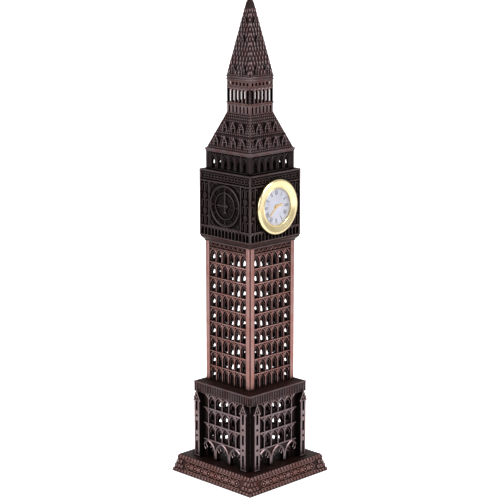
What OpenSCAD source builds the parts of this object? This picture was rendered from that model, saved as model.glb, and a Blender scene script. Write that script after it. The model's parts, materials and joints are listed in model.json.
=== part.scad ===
// Miniature landmark model: a Gothic clock tower of cast openwork panels
// with a push-in quartz clock in its front dial opening.
// Origin: centre of the resting face. +Z up, -Y is the face with the working clock.

/* [Plinth] */
// Width of the plinth along its bottom edge
plinth_bottom_w = 72.6; // [68:0.1:76]
// Width of the plinth along its top edge
plinth_top_w = 66; // [62:0.1:68]
// Height of the plinth's top above the table
plinth_top_z = 12.1; // [11:0.1:14]
// Wall thickness of the plinth casting
plinth_wall = 2.5; // [2:0.1:3]
// Thickness of the pad under the plinth
pad_t = 0.5; // [0.5:0.1:1.5]
// Width of the pad
pad_w = 65; // [60:0.5:66]

/* [Podium] */
// Height of the podium's roof edge above the table
podium_top_z = 61.9; // [60:0.1:64]
// Half width to the plane of the corner posts
post_h = 23.2; // [22.8:0.1:23.6]
// Half width to the front of the openwork screen
screen_h = 25.1; // [24.8:0.1:25.4]
// Half width to the front of the buttresses
buttress_h = 27.45; // [27:0.05:28]
// Half width to the front of the fluted frieze
frieze_h = 25.6; // [25.4:0.1:26]
// Spacing of the small arches across one side
screen_pitch = 6.25; // [6:0.05:6.4]
// Width of one buttress
buttress_w = 4.8; // [4:0.1:5]

/* [Shaft] */
// Half width of the shaft
shaft_h = 19.9; // [19.5:0.1:20.2]
// Height of the top of the shaft above the table
shaft_top_z = 155.3; // [154:0.1:156]
// Height of the lowest string course
first_string_z = 73.3; // [73:0.1:73.6]
// Vertical spacing of the string courses
string_pitch = 9.78; // [9.7:0.01:9.8]
// Width of one shaft opening
shaft_opening_w = 4.2; // [3.8:0.1:4.4]
// Spacing of the shaft openings
shaft_bay = 5.45; // [5.4:0.01:5.5]

/* [Clock stage] */
// Half width of the clock stage
stage_h = 22.25; // [22:0.05:22.5]
// Height of the bottom of the clock stage
stage_z = 158.9; // [158.5:0.1:159.3]
// Height of the top of the clock stage
stage_top_z = 201.3; // [200.8:0.1:202]
// Height of the centre of every dial
dial_z = 180; // [179.5:0.1:180.5]
// Outer radius of the raised ring of a blind dial
blind_ring_r = 13.4; // [13:0.1:13.6]

/* [Belfry and roof] */
// Half width of the belfry
belfry_h = 19.5; // [19.2:0.1:19.7]
// Height of the eaves
eaves_z = 214.7; // [214:0.1:215.5]
// Height of the top edge of the lower roof
roof_top_z = 236.7; // [236:0.1:237.5]
// Half width of the lower roof along its top edge
roof_top_h = 10.2; // [10.1:0.05:10.4]
// Half width of the lantern
lantern_h = 10.15; // [10:0.05:10.2]
// Height of the bottom of the spire
spire_z = 260.3; // [260:0.1:261]
// Height of the very tip of the model
tip_z = 308; // [306:0.5:312]

/* [Insert clock] */
// Radius of the hole in the front panel that takes the insert
seat_r = 16; // [15.8:0.1:16.2]
// Outer radius of the bezel
bezel_r = 17.5; // [17.2:0.1:18]
// How far the bezel stands in front of the panel
bezel_proud = 3.1; // [2.8:0.1:3.4]
// Radius of the opening in the bezel
bezel_opening_r = 11.7; // [11.4:0.1:11.9]
// Outer radius of the clock's case behind the panel
case_r = 14; // [13.8:0.1:14.2]
// Clockwise angle of the hour hand from 12
hour_angle = 79; // [0:1:359]
// Clockwise angle of the minute hand from 12
minute_angle = 228; // [0:1:359]

/* [Hidden] */
$fn = 64;
SIDES = ["front", "right", "back", "left"];

// Panel thickness and the small steps used all over the tower
panel_t = 2.2;
step = 0.6;
lap = 0.8;
cut = 1;
running = 0.05;
join = 0.01;
corner_reach = 20;
edge_lap = 0.2;

// Plinth
plinth_shelf_z = plinth_top_z - plinth_wall;
field_depth = 0.5;
field_low_z = 3.4;
field_high_z = 9;
field_margin = 5;
pad_corner_r = 3;
screw_x = 13.5;
screw_y = 18;
screw_r = 1.2;
screw_head_r = 2.3;
screw_head_t = 1.5;
cross_slot_l = 2.6;
cross_slot_w = 0.5;
cross_slot_t = 0.7;
screw_end_z = 17;
screw_clear_r = 1.6;
boss_r = 2.6;
boss_top_z = 19;
boss_rib_w = 5;
boss_rib_t = 4;

// Podium
post_inner_x = 15.6;
screen_half_w = 16.4;
screen_t = 2.2;
screen_strings = [24.8, 35.7, 46.1];
string_t = 1;
frieze_z = 55.3;
buttress_x = 21.2;
buttress_gable_z = 50;
buttress_tip_z = 55;
slot_w = 1.6;
slot_t = 6.4;
slot_zs = [16.2, 29.7, 43.2];
diamond_zs = [26.2, 39.7];
diamond_r = 0.75;
relief_cut = 1;
small_arch_w = 4.9;
great_arch_w = 10.6;
great_arch_r = 7.6;
great_apex_z = 23.4;
flute_pitch = 1.4;
flute_w = 0.6;
flute_half_span = 21.5;
flute_low = 0.9;
flute_high = 1.1;
spigot_gap = 0.2;
spigot_t = 2;
shaft_z = 63.6;
roof_ledge_h = shaft_h + 0.4;

// Shaft
shaft_post_x = 16.2;
shaft_rows = 9;
shaft_bays = 6;
shaft_frieze_z = 151.1;
shaft_screen_h = shaft_h - 0.7;
shaft_screen_t = 1.5;
arch_gap = 0.45;
spandrel_w = 2.4;
spandrel_t = 1.6;
shaft_foot_t = 0.8;
frieze_edge = 0.4;
top_edge = 0.9;
shaft_string_h = shaft_h - 0.2;
shaft_screen_w = 2 * shaft_post_x + edge_lap;

// Clock stage
deck_t = 1;
ground_t = panel_t - step;
frame_x = 14.1;
frame_w = 0.9;
strip_outer_x = 21.4;
slot_rail_w = 0.7;
rail_half_t = 0.4;
band_slot_z = 159.7;
band_slot_top = 165;
band_slot_w = 1.3;
band_slots = 14;
band_slot_pitch = 3.07;
rail_low_z = 165.5;
rail_high_z = 194.4;
stage_slot_rows = [[166.6, 172.2], [177.4, 182.3], [187.5, 192.7]];
stage_slot_xs = [16.2, 19.7];
stage_slot_w = 1.5;
blind_ring_w = 1.3;
blind_inner_r = 8.7;
blind_inner_w = 0.7;
seat_boss_r = bezel_r + 0.6;

// Belfry, roof, lantern and spire
belfry_post_x = 16.6;
belfry_screen_h = belfry_h - 0.6;
belfry_bays = 6;
belfry_bay = 5.55;
belfry_arch_w = 4;
belfry_sill_z = 202.6;
belfry_apex_z = 209.4;
fascia_z = 212.7;
belfry_head_t = 0.5;
belfry_screen_w = 2 * belfry_post_x + edge_lap;
roof_h = 19.1;
roof_t = 1.6;
dormer_w = 3.6;
dormer_cut_w = 1.5;
dormer_cut_sill = 0.7;
dormer_cut_apex = 4;
dormer_depth = 4.2;
dormer_proud = 0.1;
low_dormers = [[-11.7, 216.6], [-3.9, 216.6], [3.9, 216.6], [11.7, 216.6]];
high_dormers = [[-7.4, 225.4], [0, 225.4], [7.4, 225.4]];
dormer_wall = 2.9;
dormer_peak = 5.9;
roof_run = (roof_h - roof_top_h) / (roof_top_z - eaves_z);
roof_ledge_z = 223.4;
roof_ledge_t = 0.6;
roof_ledge_proud = 0.35;
lantern_t = 1.6;
lantern_bays = 6;
lantern_bay = 3.2;
lantern_string_z = 243.4;
lantern_slot_w = 2;
lantern_slot_top = 252.3;
lantern_window_z = 254.6;
lantern_window_w = 1.6;
lantern_window_t = 2;
lantern_blind_top = 242.8;
lantern_blind_z = 237.6;
lantern_blind_t = 0.7;
cornice_z = 257.8;
cornice_h = 10.75;
cornice_t = 0.8;
cornice_top_t = 0.7;
spire_low_h = 10.3;
spire_end_z = 305;
spire_end_h = 1.75;
spire_t = 1.2;
spire_run = (spire_low_h - spire_end_h) / (spire_end_z - spire_z);
finial_h = 0.9;
tip_cap_t = 0.6;
spire_dormer_proud = 0.5;
spire_dormer_depth = 3;
// Spire dormers as [x, z, width]
spire_dormers = [[-4.3, spire_z + 1.6, 2.6], [4.3, spire_z + 1.6, 2.6], [0, 281, 2.2], [0, 293, 1.5]];

// Insert clock, measured along Y from the panel's face
face_y = -stage_h;
crest_y = face_y - bezel_proud;
crest_r = 16.4;
crystal_front_y = crest_y + 1.05;
crystal_t = 0.6;
crystal_r = 12.2;
crystal_back_y = crystal_front_y + crystal_t;
flange_front_y = face_y - 0.7;
flange_r = 16.9;
dial_front_y = flange_front_y + 0.05;
dial_t = 0.4;
dial_r = 12.8;
dial_hole_r = 1.2;
spacer_inner_r = 11.8;
case_inner_r = 12.3;
case_back_y = -11;
band_outer_r = seat_r - running;
band_front_y = face_y + 0.35;
band_w = 5;
band_grooves = 3;
groove_w = 0.6;
groove_t = 0.4;
cover_t = 1;
cover_spigot = 1.2;
plate_front_y = dial_front_y + dial_t + 0.1;
plate_t = 0.8;
plate_back_y = plate_front_y + plate_t;
body_back_y = -14.8;
body_half = 8;
gear_space_r = 2.75;
gear_space_end_y = plate_back_y + 2.2;
stack_distance = 3;
post_r = 0.2;
cell_r = 3.4;
cell_t = 2.1;
cell_x = -3.6;
cell_drop = 3.4;
hour_tube_r = 0.95;
hour_bore_r = 0.6;
cannon_r = 0.55;
hand_t = 0.12;
hour_hand_y = dial_front_y - 0.18 - hand_t;
minute_hand_y = hour_hand_y - 0.18 - hand_t;
hour_reach = 6.6;
minute_reach = 9.8;
crown_y = -15.4;
stem_r = 0.4;
crown_r = 1.3;
crown_x = 14.15;
crown_w = 1.2;
stem_in_x = 5;
stem_socket_x = 4.4;
yoke_x = 9.4;
yoke_w = 0.7;

// ---- Shared shapes ----

// Turns a front-facing shape to one of the four sides
module to_side(i) rotate([0, 0, 90 * i]) children();

// Stands an outline up as a slab whose front is at half width h
module slab(h, t) translate([0, t - h, 0]) rotate([90, 0, 0]) linear_extrude(t) children();

// Two upright bars that reach outwards past the corners, which the mitre then trims
module corner_bars(inner_x, z0, z1)
    for (s = [-1, 1]) bar(s * (inner_x + corner_reach / 2), corner_reach, z0, z1);

// Triangular prism that mitres a front panel against its neighbours
module mitre(z0, z1) translate([0, 0, z0]) linear_extrude(z1 - z0)
    polygon([[0, 0], [-50, -50], [50, -50]]);

// Square solid that tapers from half width h0 at z0 to h1 at z1
module taper(z0, h0, z1, h1) {
    reach = 2 * max(h0, h1) + 2;
    intersection() {
        for_side(reach) polygon([[-h0, z0], [h0, z0], [h1, z1], [-h1, z1]]);
        rotate([0, 0, 90]) for_side(reach) polygon([[-h0, z0], [h0, z0], [h1, z1], [-h1, z1]]);
    }
}

// An outline in X and Z, drawn out to a length centred on Y
module for_side(length) translate([0, length / 2, 0]) rotate([90, 0, 0]) linear_extrude(length) children();

// A square prism with half width h from z0 to z1
module block(h, z0, z1) translate([-h, -h, z0]) cube([2 * h, 2 * h, z1 - z0]);

// A rectangle by its two heights, centred on x
module bar(x, w, z0, z1) translate([x - w / 2, z0]) square([w, z1 - z0]);

// Pointed opening with straight sides; r is the radius of each side of its head
module lancet(w, sill, apex, r) {
    rise = sqrt(r * r - (r - w / 2) * (r - w / 2));
    spring = apex - rise;
    bar(0, w, sill, spring + 0.01);
    translate([0, spring]) intersection() {
        translate([w / 2 - r, 0]) circle(r = r);
        translate([r - w / 2, 0]) circle(r = r);
        translate([-w / 2, 0]) square([w, rise + 1]);
    }
}

// A row of pointed openings
module lancet_row(count, pitch, w, sill, apex)
    for (i = [0:count - 1]) translate([(i - (count - 1) / 2) * pitch, 0]) lancet(w, sill, apex, w);

// Small triangles between the heads of neighbouring arches
module spandrel_row(count, pitch, apex)
    for (i = [0:count - 1]) translate([(i - (count - 1) / 2) * pitch, apex])
        polygon([[0, -spandrel_t], [spandrel_w / 2, 0], [-spandrel_w / 2, 0]]);

// A tube or disc turned about the clock's axis, with its front at y
module turned(y, length) translate([0, y + length, dial_z]) rotate([90, 0, 0])
    linear_extrude(length) children();

module ring(r, bore) difference() { circle(r = r); circle(r = bore); }

// A toothed wheel outline, with a hole where bore is more than nothing
module toothed(teeth, tip_r, root_r, bore = 0) difference() {
    union() {
        circle(r = root_r);
        for (i = [0:teeth - 1]) rotate(i * 360 / teeth)
            translate([-tip_r * 0.9 / teeth, 0]) square([tip_r * 1.8 / teeth, tip_r]);
    }
    if (bore > 0) circle(r = bore);
}

// ---- Plinth ----

module plinth() color("#7a5049") difference() {
    taper(pad_t, plinth_bottom_w / 2, plinth_top_z, plinth_top_w / 2);
    taper(pad_t - cut, plinth_bottom_w / 2 - plinth_wall, plinth_shelf_z, plinth_top_w / 2 - plinth_wall);
    for (i = [0:3]) to_side(i) {
        translate([screw_x, -screw_y, plinth_shelf_z - cut])
            cylinder(r = screw_clear_r, h = plinth_wall + 2 * cut);
        plinth_field();
    }
}

// Shallow recess that holds the ornament on one face
module plinth_field() {
    lean = (plinth_bottom_w - plinth_top_w) / 2 / (plinth_top_z - pad_t);
    half_low = plinth_bottom_w / 2 - lean * (field_low_z - pad_t);
    half_high = plinth_bottom_w / 2 - lean * (field_high_z - pad_t);
    rotate([90, 0, 90]) translate([0, 0, field_margin - half_low]) linear_extrude(2 * (half_low - field_margin))
        polygon([[-half_low - cut, field_low_z], [field_depth - half_low, field_low_z],
                 [field_depth - half_high, field_high_z], [-half_high - cut, field_high_z]]);
}

module base_pad() color("#1f1d1c") linear_extrude(pad_t) difference() {
    union() {
        square([pad_w - 2 * pad_corner_r, pad_w], center = true);
        square([pad_w, pad_w - 2 * pad_corner_r], center = true);
        for (x = [-1, 1], y = [-1, 1])
            translate([x, y] * (pad_w / 2 - pad_corner_r)) circle(r = pad_corner_r);
    }
}

module base_screws() color("#8d8a86") for (i = [0:3]) to_side(i) translate([screw_x, -screw_y, 0]) {
    translate([0, 0, plinth_shelf_z]) cylinder(r = screw_r, h = screw_end_z - plinth_shelf_z);
    translate([0, 0, plinth_shelf_z - screw_head_t]) difference() {
        cylinder(r = screw_head_r, h = screw_head_t);
        for (a = [0, 90]) rotate(a) translate([-cross_slot_l / 2, -cross_slot_w / 2, -cut])
            cube([cross_slot_l, cross_slot_w, cut + cross_slot_t]);
    }
}

// ---- Podium ----

// Outline of all the openings in one podium screen
module podium_openings() {
    for (k = [0:2]) {
        top = k == 2 ? frieze_z : screen_strings[k + 1] - string_t / 2;
        lancet_row(6, screen_pitch, small_arch_w, screen_strings[k] + string_t / 2, top - arch_gap);
        spandrel_row(5, screen_pitch, top - arch_gap);
    }
    for (i = [-1:1]) translate([i * 2 * screen_pitch, 0])
        lancet(great_arch_w, plinth_top_z - cut, great_apex_z, great_arch_r);
}

module buttress(x) {
    difference() {
        slab(buttress_h, buttress_h - post_h + lap) polygon([
            [x - buttress_w / 2, plinth_top_z], [x + buttress_w / 2, plinth_top_z],
            [x + buttress_w / 2, buttress_gable_z], [x, buttress_tip_z], [x - buttress_w / 2, buttress_gable_z]]);
        slab(buttress_h + cut, relief_cut + cut) {
            for (z = slot_zs) bar(x, slot_w, z, z + slot_t);
            for (z = diamond_zs) translate([x, z]) rotate(45) square(2 * diamond_r, center = true);
        }
    }
}

module podium_panel(i) color("#8a5f58") to_side(i) difference() {
    union() {
        intersection() {
            mitre(plinth_top_z, podium_top_z);
            union() {
                slab(post_h, panel_t) corner_bars(post_inner_x, plinth_top_z, podium_top_z);
                for (s = [-1, 1]) buttress(s * buttress_x);
                difference() {
                    slab(frieze_h, frieze_h - post_h + lap)
                        bar(0, 2 * frieze_h, frieze_z, podium_top_z);
                    slab(frieze_h + cut, field_depth + cut)
                        for (x = [-flute_half_span:flute_pitch:flute_half_span])
                            bar(x, flute_w, frieze_z + flute_low, podium_top_z - flute_high);
                }
            }
        }
        slab(screen_h, screen_t) difference() {
            bar(0, 2 * screen_half_w, plinth_top_z, frieze_z + lap);
            podium_openings();
        }
        translate([screw_x, -screw_y, plinth_top_z]) cylinder(r = boss_r, h = boss_top_z - plinth_top_z);
        translate([screw_x - cut, running - post_h + cut / 2, plinth_top_z])
            cube([boss_rib_w, boss_rib_t, boss_top_z - plinth_top_z]);
    }
    translate([screw_x, -screw_y, plinth_top_z - cut])
        cylinder(r = screw_r + running, h = screw_end_z - plinth_top_z + 2 * cut);
}

module podium_roof() color("#7d5550") {
    taper(podium_top_z, frieze_h, shaft_z, roof_ledge_h);
    block(post_h - panel_t - spigot_gap, podium_top_z - spigot_t, podium_top_z + join);
}

// ---- Shaft ----

module shaft_openings() {
    for (k = [0:shaft_rows - 1]) {
        low = k == 0 ? shaft_z + shaft_foot_t : first_string_z + (k - 1) * string_pitch + string_t / 2;
        top = k == shaft_rows - 1 ? shaft_frieze_z : first_string_z + k * string_pitch - string_t / 2;
        lancet_row(shaft_bays, shaft_bay, shaft_opening_w, low, top - arch_gap);
        spandrel_row(shaft_bays - 1, shaft_bay, top - arch_gap);
    }
}

module shaft_panel(i) color("#a3736c") to_side(i) {
    intersection() {
        mitre(shaft_z, shaft_top_z);
        slab(shaft_h, panel_t) corner_bars(shaft_post_x, shaft_z, shaft_top_z);
    }
    slab(shaft_screen_h, shaft_screen_t) difference() {
        bar(0, shaft_screen_w, shaft_z, shaft_top_z);
        shaft_openings();
    }
    slab(shaft_string_h, shaft_screen_t) {
        for (k = [0:shaft_rows - 2]) {
            z = first_string_z + k * string_pitch;
            bar(0, shaft_screen_w, z - string_t / 2, z + string_t / 2);
        }
        bar(0, shaft_screen_w, shaft_top_z - top_edge, shaft_top_z);
        bar(0, shaft_screen_w, shaft_frieze_z - frieze_edge, shaft_frieze_z + frieze_edge);
    }
}

module shaft_cornice() color("#83584f") {
    taper(shaft_top_z, shaft_h, stage_z - top_edge, stage_h);
    block(stage_h, stage_z - top_edge - join, stage_z);
}

// ---- Clock stage ----

module stage_frames() {
    bar(0, 2 * stage_h, stage_z, band_slot_z - edge_lap);
    for (z = [rail_low_z, rail_high_z]) bar(0, 2 * stage_h, z - rail_half_t, z + rail_half_t);
    bar(0, 2 * stage_h, stage_top_z - deck_t - lap, stage_top_z - deck_t);
    for (s = [-1, 1]) {
        bar(s * frame_x, frame_w, rail_low_z, rail_high_z);
        bar(s * (strip_outer_x + 1), 2, stage_z, stage_top_z - deck_t);
        bar(s * (stage_slot_xs[0] + stage_slot_xs[1]) / 2, slot_rail_w, rail_low_z, rail_high_z);
    }
}

module stage_slots() {
    for (i = [0:band_slots - 1])
        bar((i - (band_slots - 1) / 2) * band_slot_pitch, band_slot_w, band_slot_z, band_slot_top);
    for (s = [-1, 1], x = stage_slot_xs, row = stage_slot_rows) bar(s * x, stage_slot_w, row[0], row[1]);
}

module stage_ground(i) to_side(i) difference() {
    intersection() {
        mitre(stage_z, stage_top_z - deck_t);
        union() {
            slab(stage_h - step, ground_t) bar(0, 2 * stage_h, stage_z, stage_top_z - deck_t);
            slab(stage_h, panel_t) stage_frames();
        }
    }
    slab(stage_h + cut, relief_cut + cut) stage_slots();
}

module clock_panel_blind(i) color("#4d3733") {
    stage_ground(i);
    to_side(i) slab(stage_h, panel_t) translate([0, dial_z]) {
        ring(blind_ring_r, blind_ring_r - blind_ring_w);
        ring(blind_inner_r, blind_inner_r - blind_inner_w);
    }
}

module clock_panel_front() color("#4d3733") difference() {
    union() {
        stage_ground(0);
        slab(stage_h, panel_t) translate([0, dial_z]) circle(r = seat_boss_r);
    }
    slab(stage_h + cut, panel_t + 2 * cut) translate([0, dial_z]) circle(r = seat_r);
}

module stage_deck() color("#5a403b") block(stage_h, stage_top_z - deck_t, stage_top_z);

// ---- Belfry ----

module belfry_panel(i) color("#5a403b") to_side(i) {
    intersection() {
        mitre(stage_top_z, eaves_z);
        union() {
            slab(belfry_h, panel_t) corner_bars(belfry_post_x, stage_top_z, eaves_z);
            slab(belfry_h, panel_t) bar(0, 2 * belfry_h, fascia_z, eaves_z);
        }
    }
    slab(belfry_screen_h, shaft_screen_t) difference() {
        bar(0, belfry_screen_w, stage_top_z, fascia_z + belfry_head_t);
        lancet_row(belfry_bays, belfry_bay, belfry_arch_w, belfry_sill_z, belfry_apex_z);
        spandrel_row(belfry_bays - 1, belfry_bay, fascia_z - lap);
    }
}

// ---- Lower roof ----

// A gabled dormer whose front stands where the roof's slope meets its sill
module dormer(x, z, h) slab(h, dormer_depth) difference() {
    polygon([[x - dormer_w / 2, z], [x + dormer_w / 2, z], [x + dormer_w / 2, z + dormer_wall],
             [x, z + dormer_peak], [x - dormer_w / 2, z + dormer_wall]]);
    translate([x, 0]) lancet(dormer_cut_w, z + dormer_cut_sill, z + dormer_cut_apex, dormer_cut_w);
}

function roof_half(z) = roof_h - roof_run * (z - eaves_z);

module lower_roof(i) color("#6f4f4b") to_side(i) difference() {
    union() {
        intersection() {
            mitre(eaves_z, roof_top_z);
            difference() {
                union() {
                    taper(eaves_z, roof_h, roof_top_z, roof_top_h);
                    block(roof_half(roof_ledge_z) + roof_ledge_proud, roof_ledge_z,
                          roof_ledge_z + roof_ledge_t);
                }
                taper(eaves_z - cut, roof_h - roof_t + roof_run * cut, roof_top_z + cut,
                      roof_top_h - roof_t - roof_run * cut);
            }
        }
        for (d = concat(low_dormers, high_dormers)) dormer(d[0], d[1], roof_half(d[1]) + dormer_proud);
    }
    taper(eaves_z - cut, roof_h - roof_t + roof_run * cut, roof_top_z + cut,
          roof_top_h - roof_t - roof_run * cut);
}

// ---- Lantern ----

module lantern_panel(i) color("#6b4742") to_side(i) {
    intersection() {
        mitre(roof_top_z, cornice_z);
        union() {
            slab(lantern_h - lantern_blind_t, lantern_t - lantern_blind_t)
                bar(0, 2 * lantern_h, roof_top_z, lantern_string_z);
            slab(lantern_h, lantern_t) difference() {
                bar(0, 2 * lantern_h, roof_top_z, cornice_z);
                lancet_row(lantern_bays, lantern_bay, lantern_slot_w, lantern_blind_z, lantern_blind_top);
                lancet_row(lantern_bays, lantern_bay, lantern_slot_w, lantern_string_z + string_t / 2,
                           lantern_slot_top);
                for (k = [0:lantern_bays - 1])
                    bar((k - (lantern_bays - 1) / 2) * lantern_bay, lantern_window_w,
                        lantern_window_z, lantern_window_z + lantern_window_t);
            }
            slab(lantern_h + rail_half_t, lantern_t)
                bar(0, 2 * lantern_h + cut, lantern_string_z - rail_half_t, lantern_string_z + rail_half_t);
        }
    }
}

module lantern_cornice() color("#7d5550") {
    block(cornice_h, cornice_z, cornice_z + cornice_t);
    block(cornice_h - step, cornice_z + cornice_t - join, spire_z - cornice_top_t);
    block(cornice_h + dormer_proud, spire_z - cornice_top_t - join, spire_z);
}

// ---- Spire ----

function spire_half(z) = spire_low_h - spire_run * (z - spire_z);

// A gabled dormer as tall as 1.8 times its width, on one face of the spire
module spire_dormer(x, z, w) slab(spire_half(z) + spire_dormer_proud, spire_dormer_depth) polygon([
    [x - w / 2, z], [x + w / 2, z], [x + w / 2, z + w * 0.9], [x, z + w * 1.8], [x - w / 2, z + w * 0.9]]);

module spire_panel(i) color("#74504b") to_side(i) {
    difference() {
        union() {
            intersection() {
                mitre(spire_z, spire_end_z);
                taper(spire_z, spire_low_h, spire_end_z, spire_end_h);
            }
            for (d = spire_dormers) spire_dormer(d[0], d[1], d[2]);
        }
        taper(spire_z - cut, spire_low_h - spire_t + spire_run * cut, spire_end_z + cut,
              spire_end_h - spire_t - spire_run * cut);
    }
}

module finial() color("#74504b") {
    taper(spire_end_z, spire_end_h, tip_z - tip_cap_t, finial_h);
    taper(tip_z - tip_cap_t - join, finial_h, tip_z, finial_h / 2);
}

// ---- Insert clock ----

// A turned shape drawn as radius against distance along Y
module lathe() translate([0, 0, dial_z]) rotate([-90, 0, 0]) rotate_extrude($fn = 96) children();

module clock_case() color("#26262a") difference() {
    lathe() polygon([
        [case_inner_r, case_back_y], [case_r, case_back_y], [case_r, face_y], [flange_r, face_y],
        [flange_r, flange_front_y], [dial_r + running, flange_front_y],
        [dial_r + running, dial_front_y + dial_t], [case_inner_r, dial_front_y + dial_t]]);
    translate([0, crown_y, dial_z]) rotate([0, 90, 0]) cylinder(r = stem_r + running, h = case_r + cut);
}

module grip_band() color("#2b2b2b") difference() {
    turned(band_front_y, band_w) ring(band_outer_r, case_r + running);
    for (k = [1:band_grooves])
        turned(band_front_y + k * band_w / (band_grooves + 1) - groove_w / 2, groove_w)
            ring(band_outer_r + cut, band_outer_r - groove_t);
}

module bezel() color("#e0bd62") lathe() polygon([
    [bezel_r, face_y], [bezel_r, face_y - 1.5], [bezel_r - 0.3, crest_y + 0.45], [crest_r, crest_y],
    [crest_r - 0.5, crest_y + 0.05], [bezel_opening_r, crystal_front_y], [crystal_r + running, crystal_front_y],
    [crystal_r + running, crystal_back_y], [dial_r + running, crystal_back_y],
    [dial_r + running, flange_front_y], [flange_r + running, flange_front_y], [flange_r + running, face_y]]);

module crystal() color("#dfe9ee", 0.35) turned(crystal_front_y, crystal_t) circle(r = crystal_r);

module spacer_ring() color("#c9a44d") turned(crystal_back_y, dial_front_y - crystal_back_y)
    ring(dial_r, spacer_inner_r);

module dial() color("#eceaf2") turned(dial_front_y, dial_t) ring(dial_r, dial_hole_r);

module movement_plate() color("#b9b9b4") turned(plate_front_y, plate_t)
    ring(case_inner_r - 0.1, hour_tube_r + running);

module movement_body() color("#3a3a3e") {
    movement_block();
    translate([stack_distance, 0]) turned(plate_back_y + 0.3, gear_space_end_y - plate_back_y) circle(r = post_r);
}

module movement_block() difference() {
    union() {
        translate([-body_half, plate_back_y, dial_z - body_half])
            cube([2 * body_half, body_back_y - plate_back_y, 2 * body_half]);
        turned(plate_back_y, 1) circle(r = case_inner_r - 0.1);
    }
    turned(plate_back_y - cut, gear_space_end_y - plate_back_y + cut) {
        circle(r = gear_space_r);
        translate([stack_distance, 0]) circle(r = gear_space_r);
    }
    translate([cell_x, 0, -cell_drop]) turned(body_back_y - cell_t - 0.2, cell_t + cut) circle(r = cell_r + 0.1);
    turned(gear_space_end_y - cut, 2) circle(r = cannon_r + running);
    translate([stem_socket_x, crown_y, dial_z]) rotate([0, 90, 0]) cylinder(r = stem_r + running, h = body_half);
}

module button_cell() color("#cfcfcf") translate([cell_x, 0, -cell_drop]) difference() {
    turned(body_back_y - cell_t - 0.1, cell_t) circle(r = cell_r);
    turned(body_back_y - 0.4, cut) ring(cell_r + cut, cell_r - 0.5);
}

module rear_cover() color("#26262a") difference() {
    union() {
        turned(case_back_y, cover_t) circle(r = case_r);
        turned(case_back_y - cover_spigot, cover_spigot + 0.01) ring(case_inner_r - running, case_inner_r - 1);
    }
    translate([-3, case_back_y + cover_t - 0.4, dial_z - case_r - cut]) cube([6, cut, 3]);
}

// The pinion on the minute hand's arbor
module cannon_pinion() color("#d9b24a") {
    turned(minute_hand_y, gear_space_end_y + 0.6 - minute_hand_y) circle(r = cannon_r);
    turned(gear_space_end_y - 0.9, 0.6) toothed(8, 0.85, 0.62);
}

module minute_wheel() color("#d9b24a") translate([stack_distance, 0, 0]) {
    turned(gear_space_end_y - 0.9, 0.6) toothed(24, 2.1, 1.9, post_r + running);
    turned(plate_back_y + 0.35, gear_space_end_y - 0.9 - plate_back_y - 0.34) 
        toothed(8, 0.62, 0.48, post_r + running);
}

module hour_wheel() color("#d9b24a") {
    turned(hour_hand_y, plate_back_y + 0.7 - hour_hand_y) ring(hour_tube_r, hour_bore_r);
    turned(plate_back_y + 0.35, 0.45) toothed(32, 2.34, 2.16, hour_bore_r);
}

// A tapering clock hand that points at 12 before it is turned clockwise by angle
module hand(y, angle, reach, width, hub_r, bore) difference() {
    union() {
        turned(y, hand_t) circle(r = hub_r);
        turned(y, hand_t) rotate(-angle) polygon([
            [-width * 0.3, -hub_r * 1.8], [-width * 0.35, 0], [-width / 2, reach * 0.55], [0, reach],
            [width / 2, reach * 0.55], [width * 0.35, 0], [width * 0.3, -hub_r * 1.8]]);
    }
    turned(y - cut, hand_t + 2 * cut) circle(r = bore);
}

module minute_hand() color("#d9a93c") hand(minute_hand_y, minute_angle, minute_reach, 1.1, 1, cannon_r);

module hour_hand() color("#d9a93c") hand(hour_hand_y, hour_angle, hour_reach, 1.5, 1.3, hour_tube_r);

// The yoke that the stem carries in and out
module setting_yoke() color("#b9b9b4") translate([yoke_x, crown_y, dial_z]) rotate([0, 90, 0]) difference() {
    cylinder(r = 1.1, h = yoke_w);
    translate([0, 0, -cut]) cylinder(r = stem_r + running, h = yoke_w + 2 * cut);
}

module crown() color("#d9b24a") translate([0, crown_y, dial_z]) rotate([0, 90, 0]) {
    translate([0, 0, stem_in_x]) cylinder(r = stem_r, h = crown_x - stem_in_x + 0.1);
    translate([0, 0, crown_x]) linear_extrude(crown_w) toothed(20, crown_r, crown_r - 0.15);
}

plinth();
base_pad();
base_screws();
for (i = [0:3]) podium_panel(i);
podium_roof();
for (i = [0:3]) shaft_panel(i);
shaft_cornice();
clock_panel_front();
for (i = [1:3]) clock_panel_blind(i);
stage_deck();
for (i = [0:3]) belfry_panel(i);
for (i = [0:3]) lower_roof(i);
for (i = [0:3]) lantern_panel(i);
lantern_cornice();
for (i = [0:3]) spire_panel(i);
finial();
clock_case();
grip_band();
bezel();
crystal();
spacer_ring();
dial();
movement_plate();
movement_body();
button_cell();
rear_cover();
cannon_pinion();
minute_wheel();
hour_wheel();
minute_hand();
hour_hand();
setting_yoke();
crown();
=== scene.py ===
# %% [markdown]
# # A souvenir clock tower in antique copper
#
# The tower is made of flat castings: four openwork panels for each storey, soldered at the corners, with
# plates between the storeys and a small push-in clock in the front. The drawing package has already made
# every casting as a plain pierced plate. This lesson loads those plates, keeps them where they are, and
# works over them as a pattern maker would, with mouldings, tracery, tiles and bricks.

# %% Load the frame
import json
import math

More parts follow.
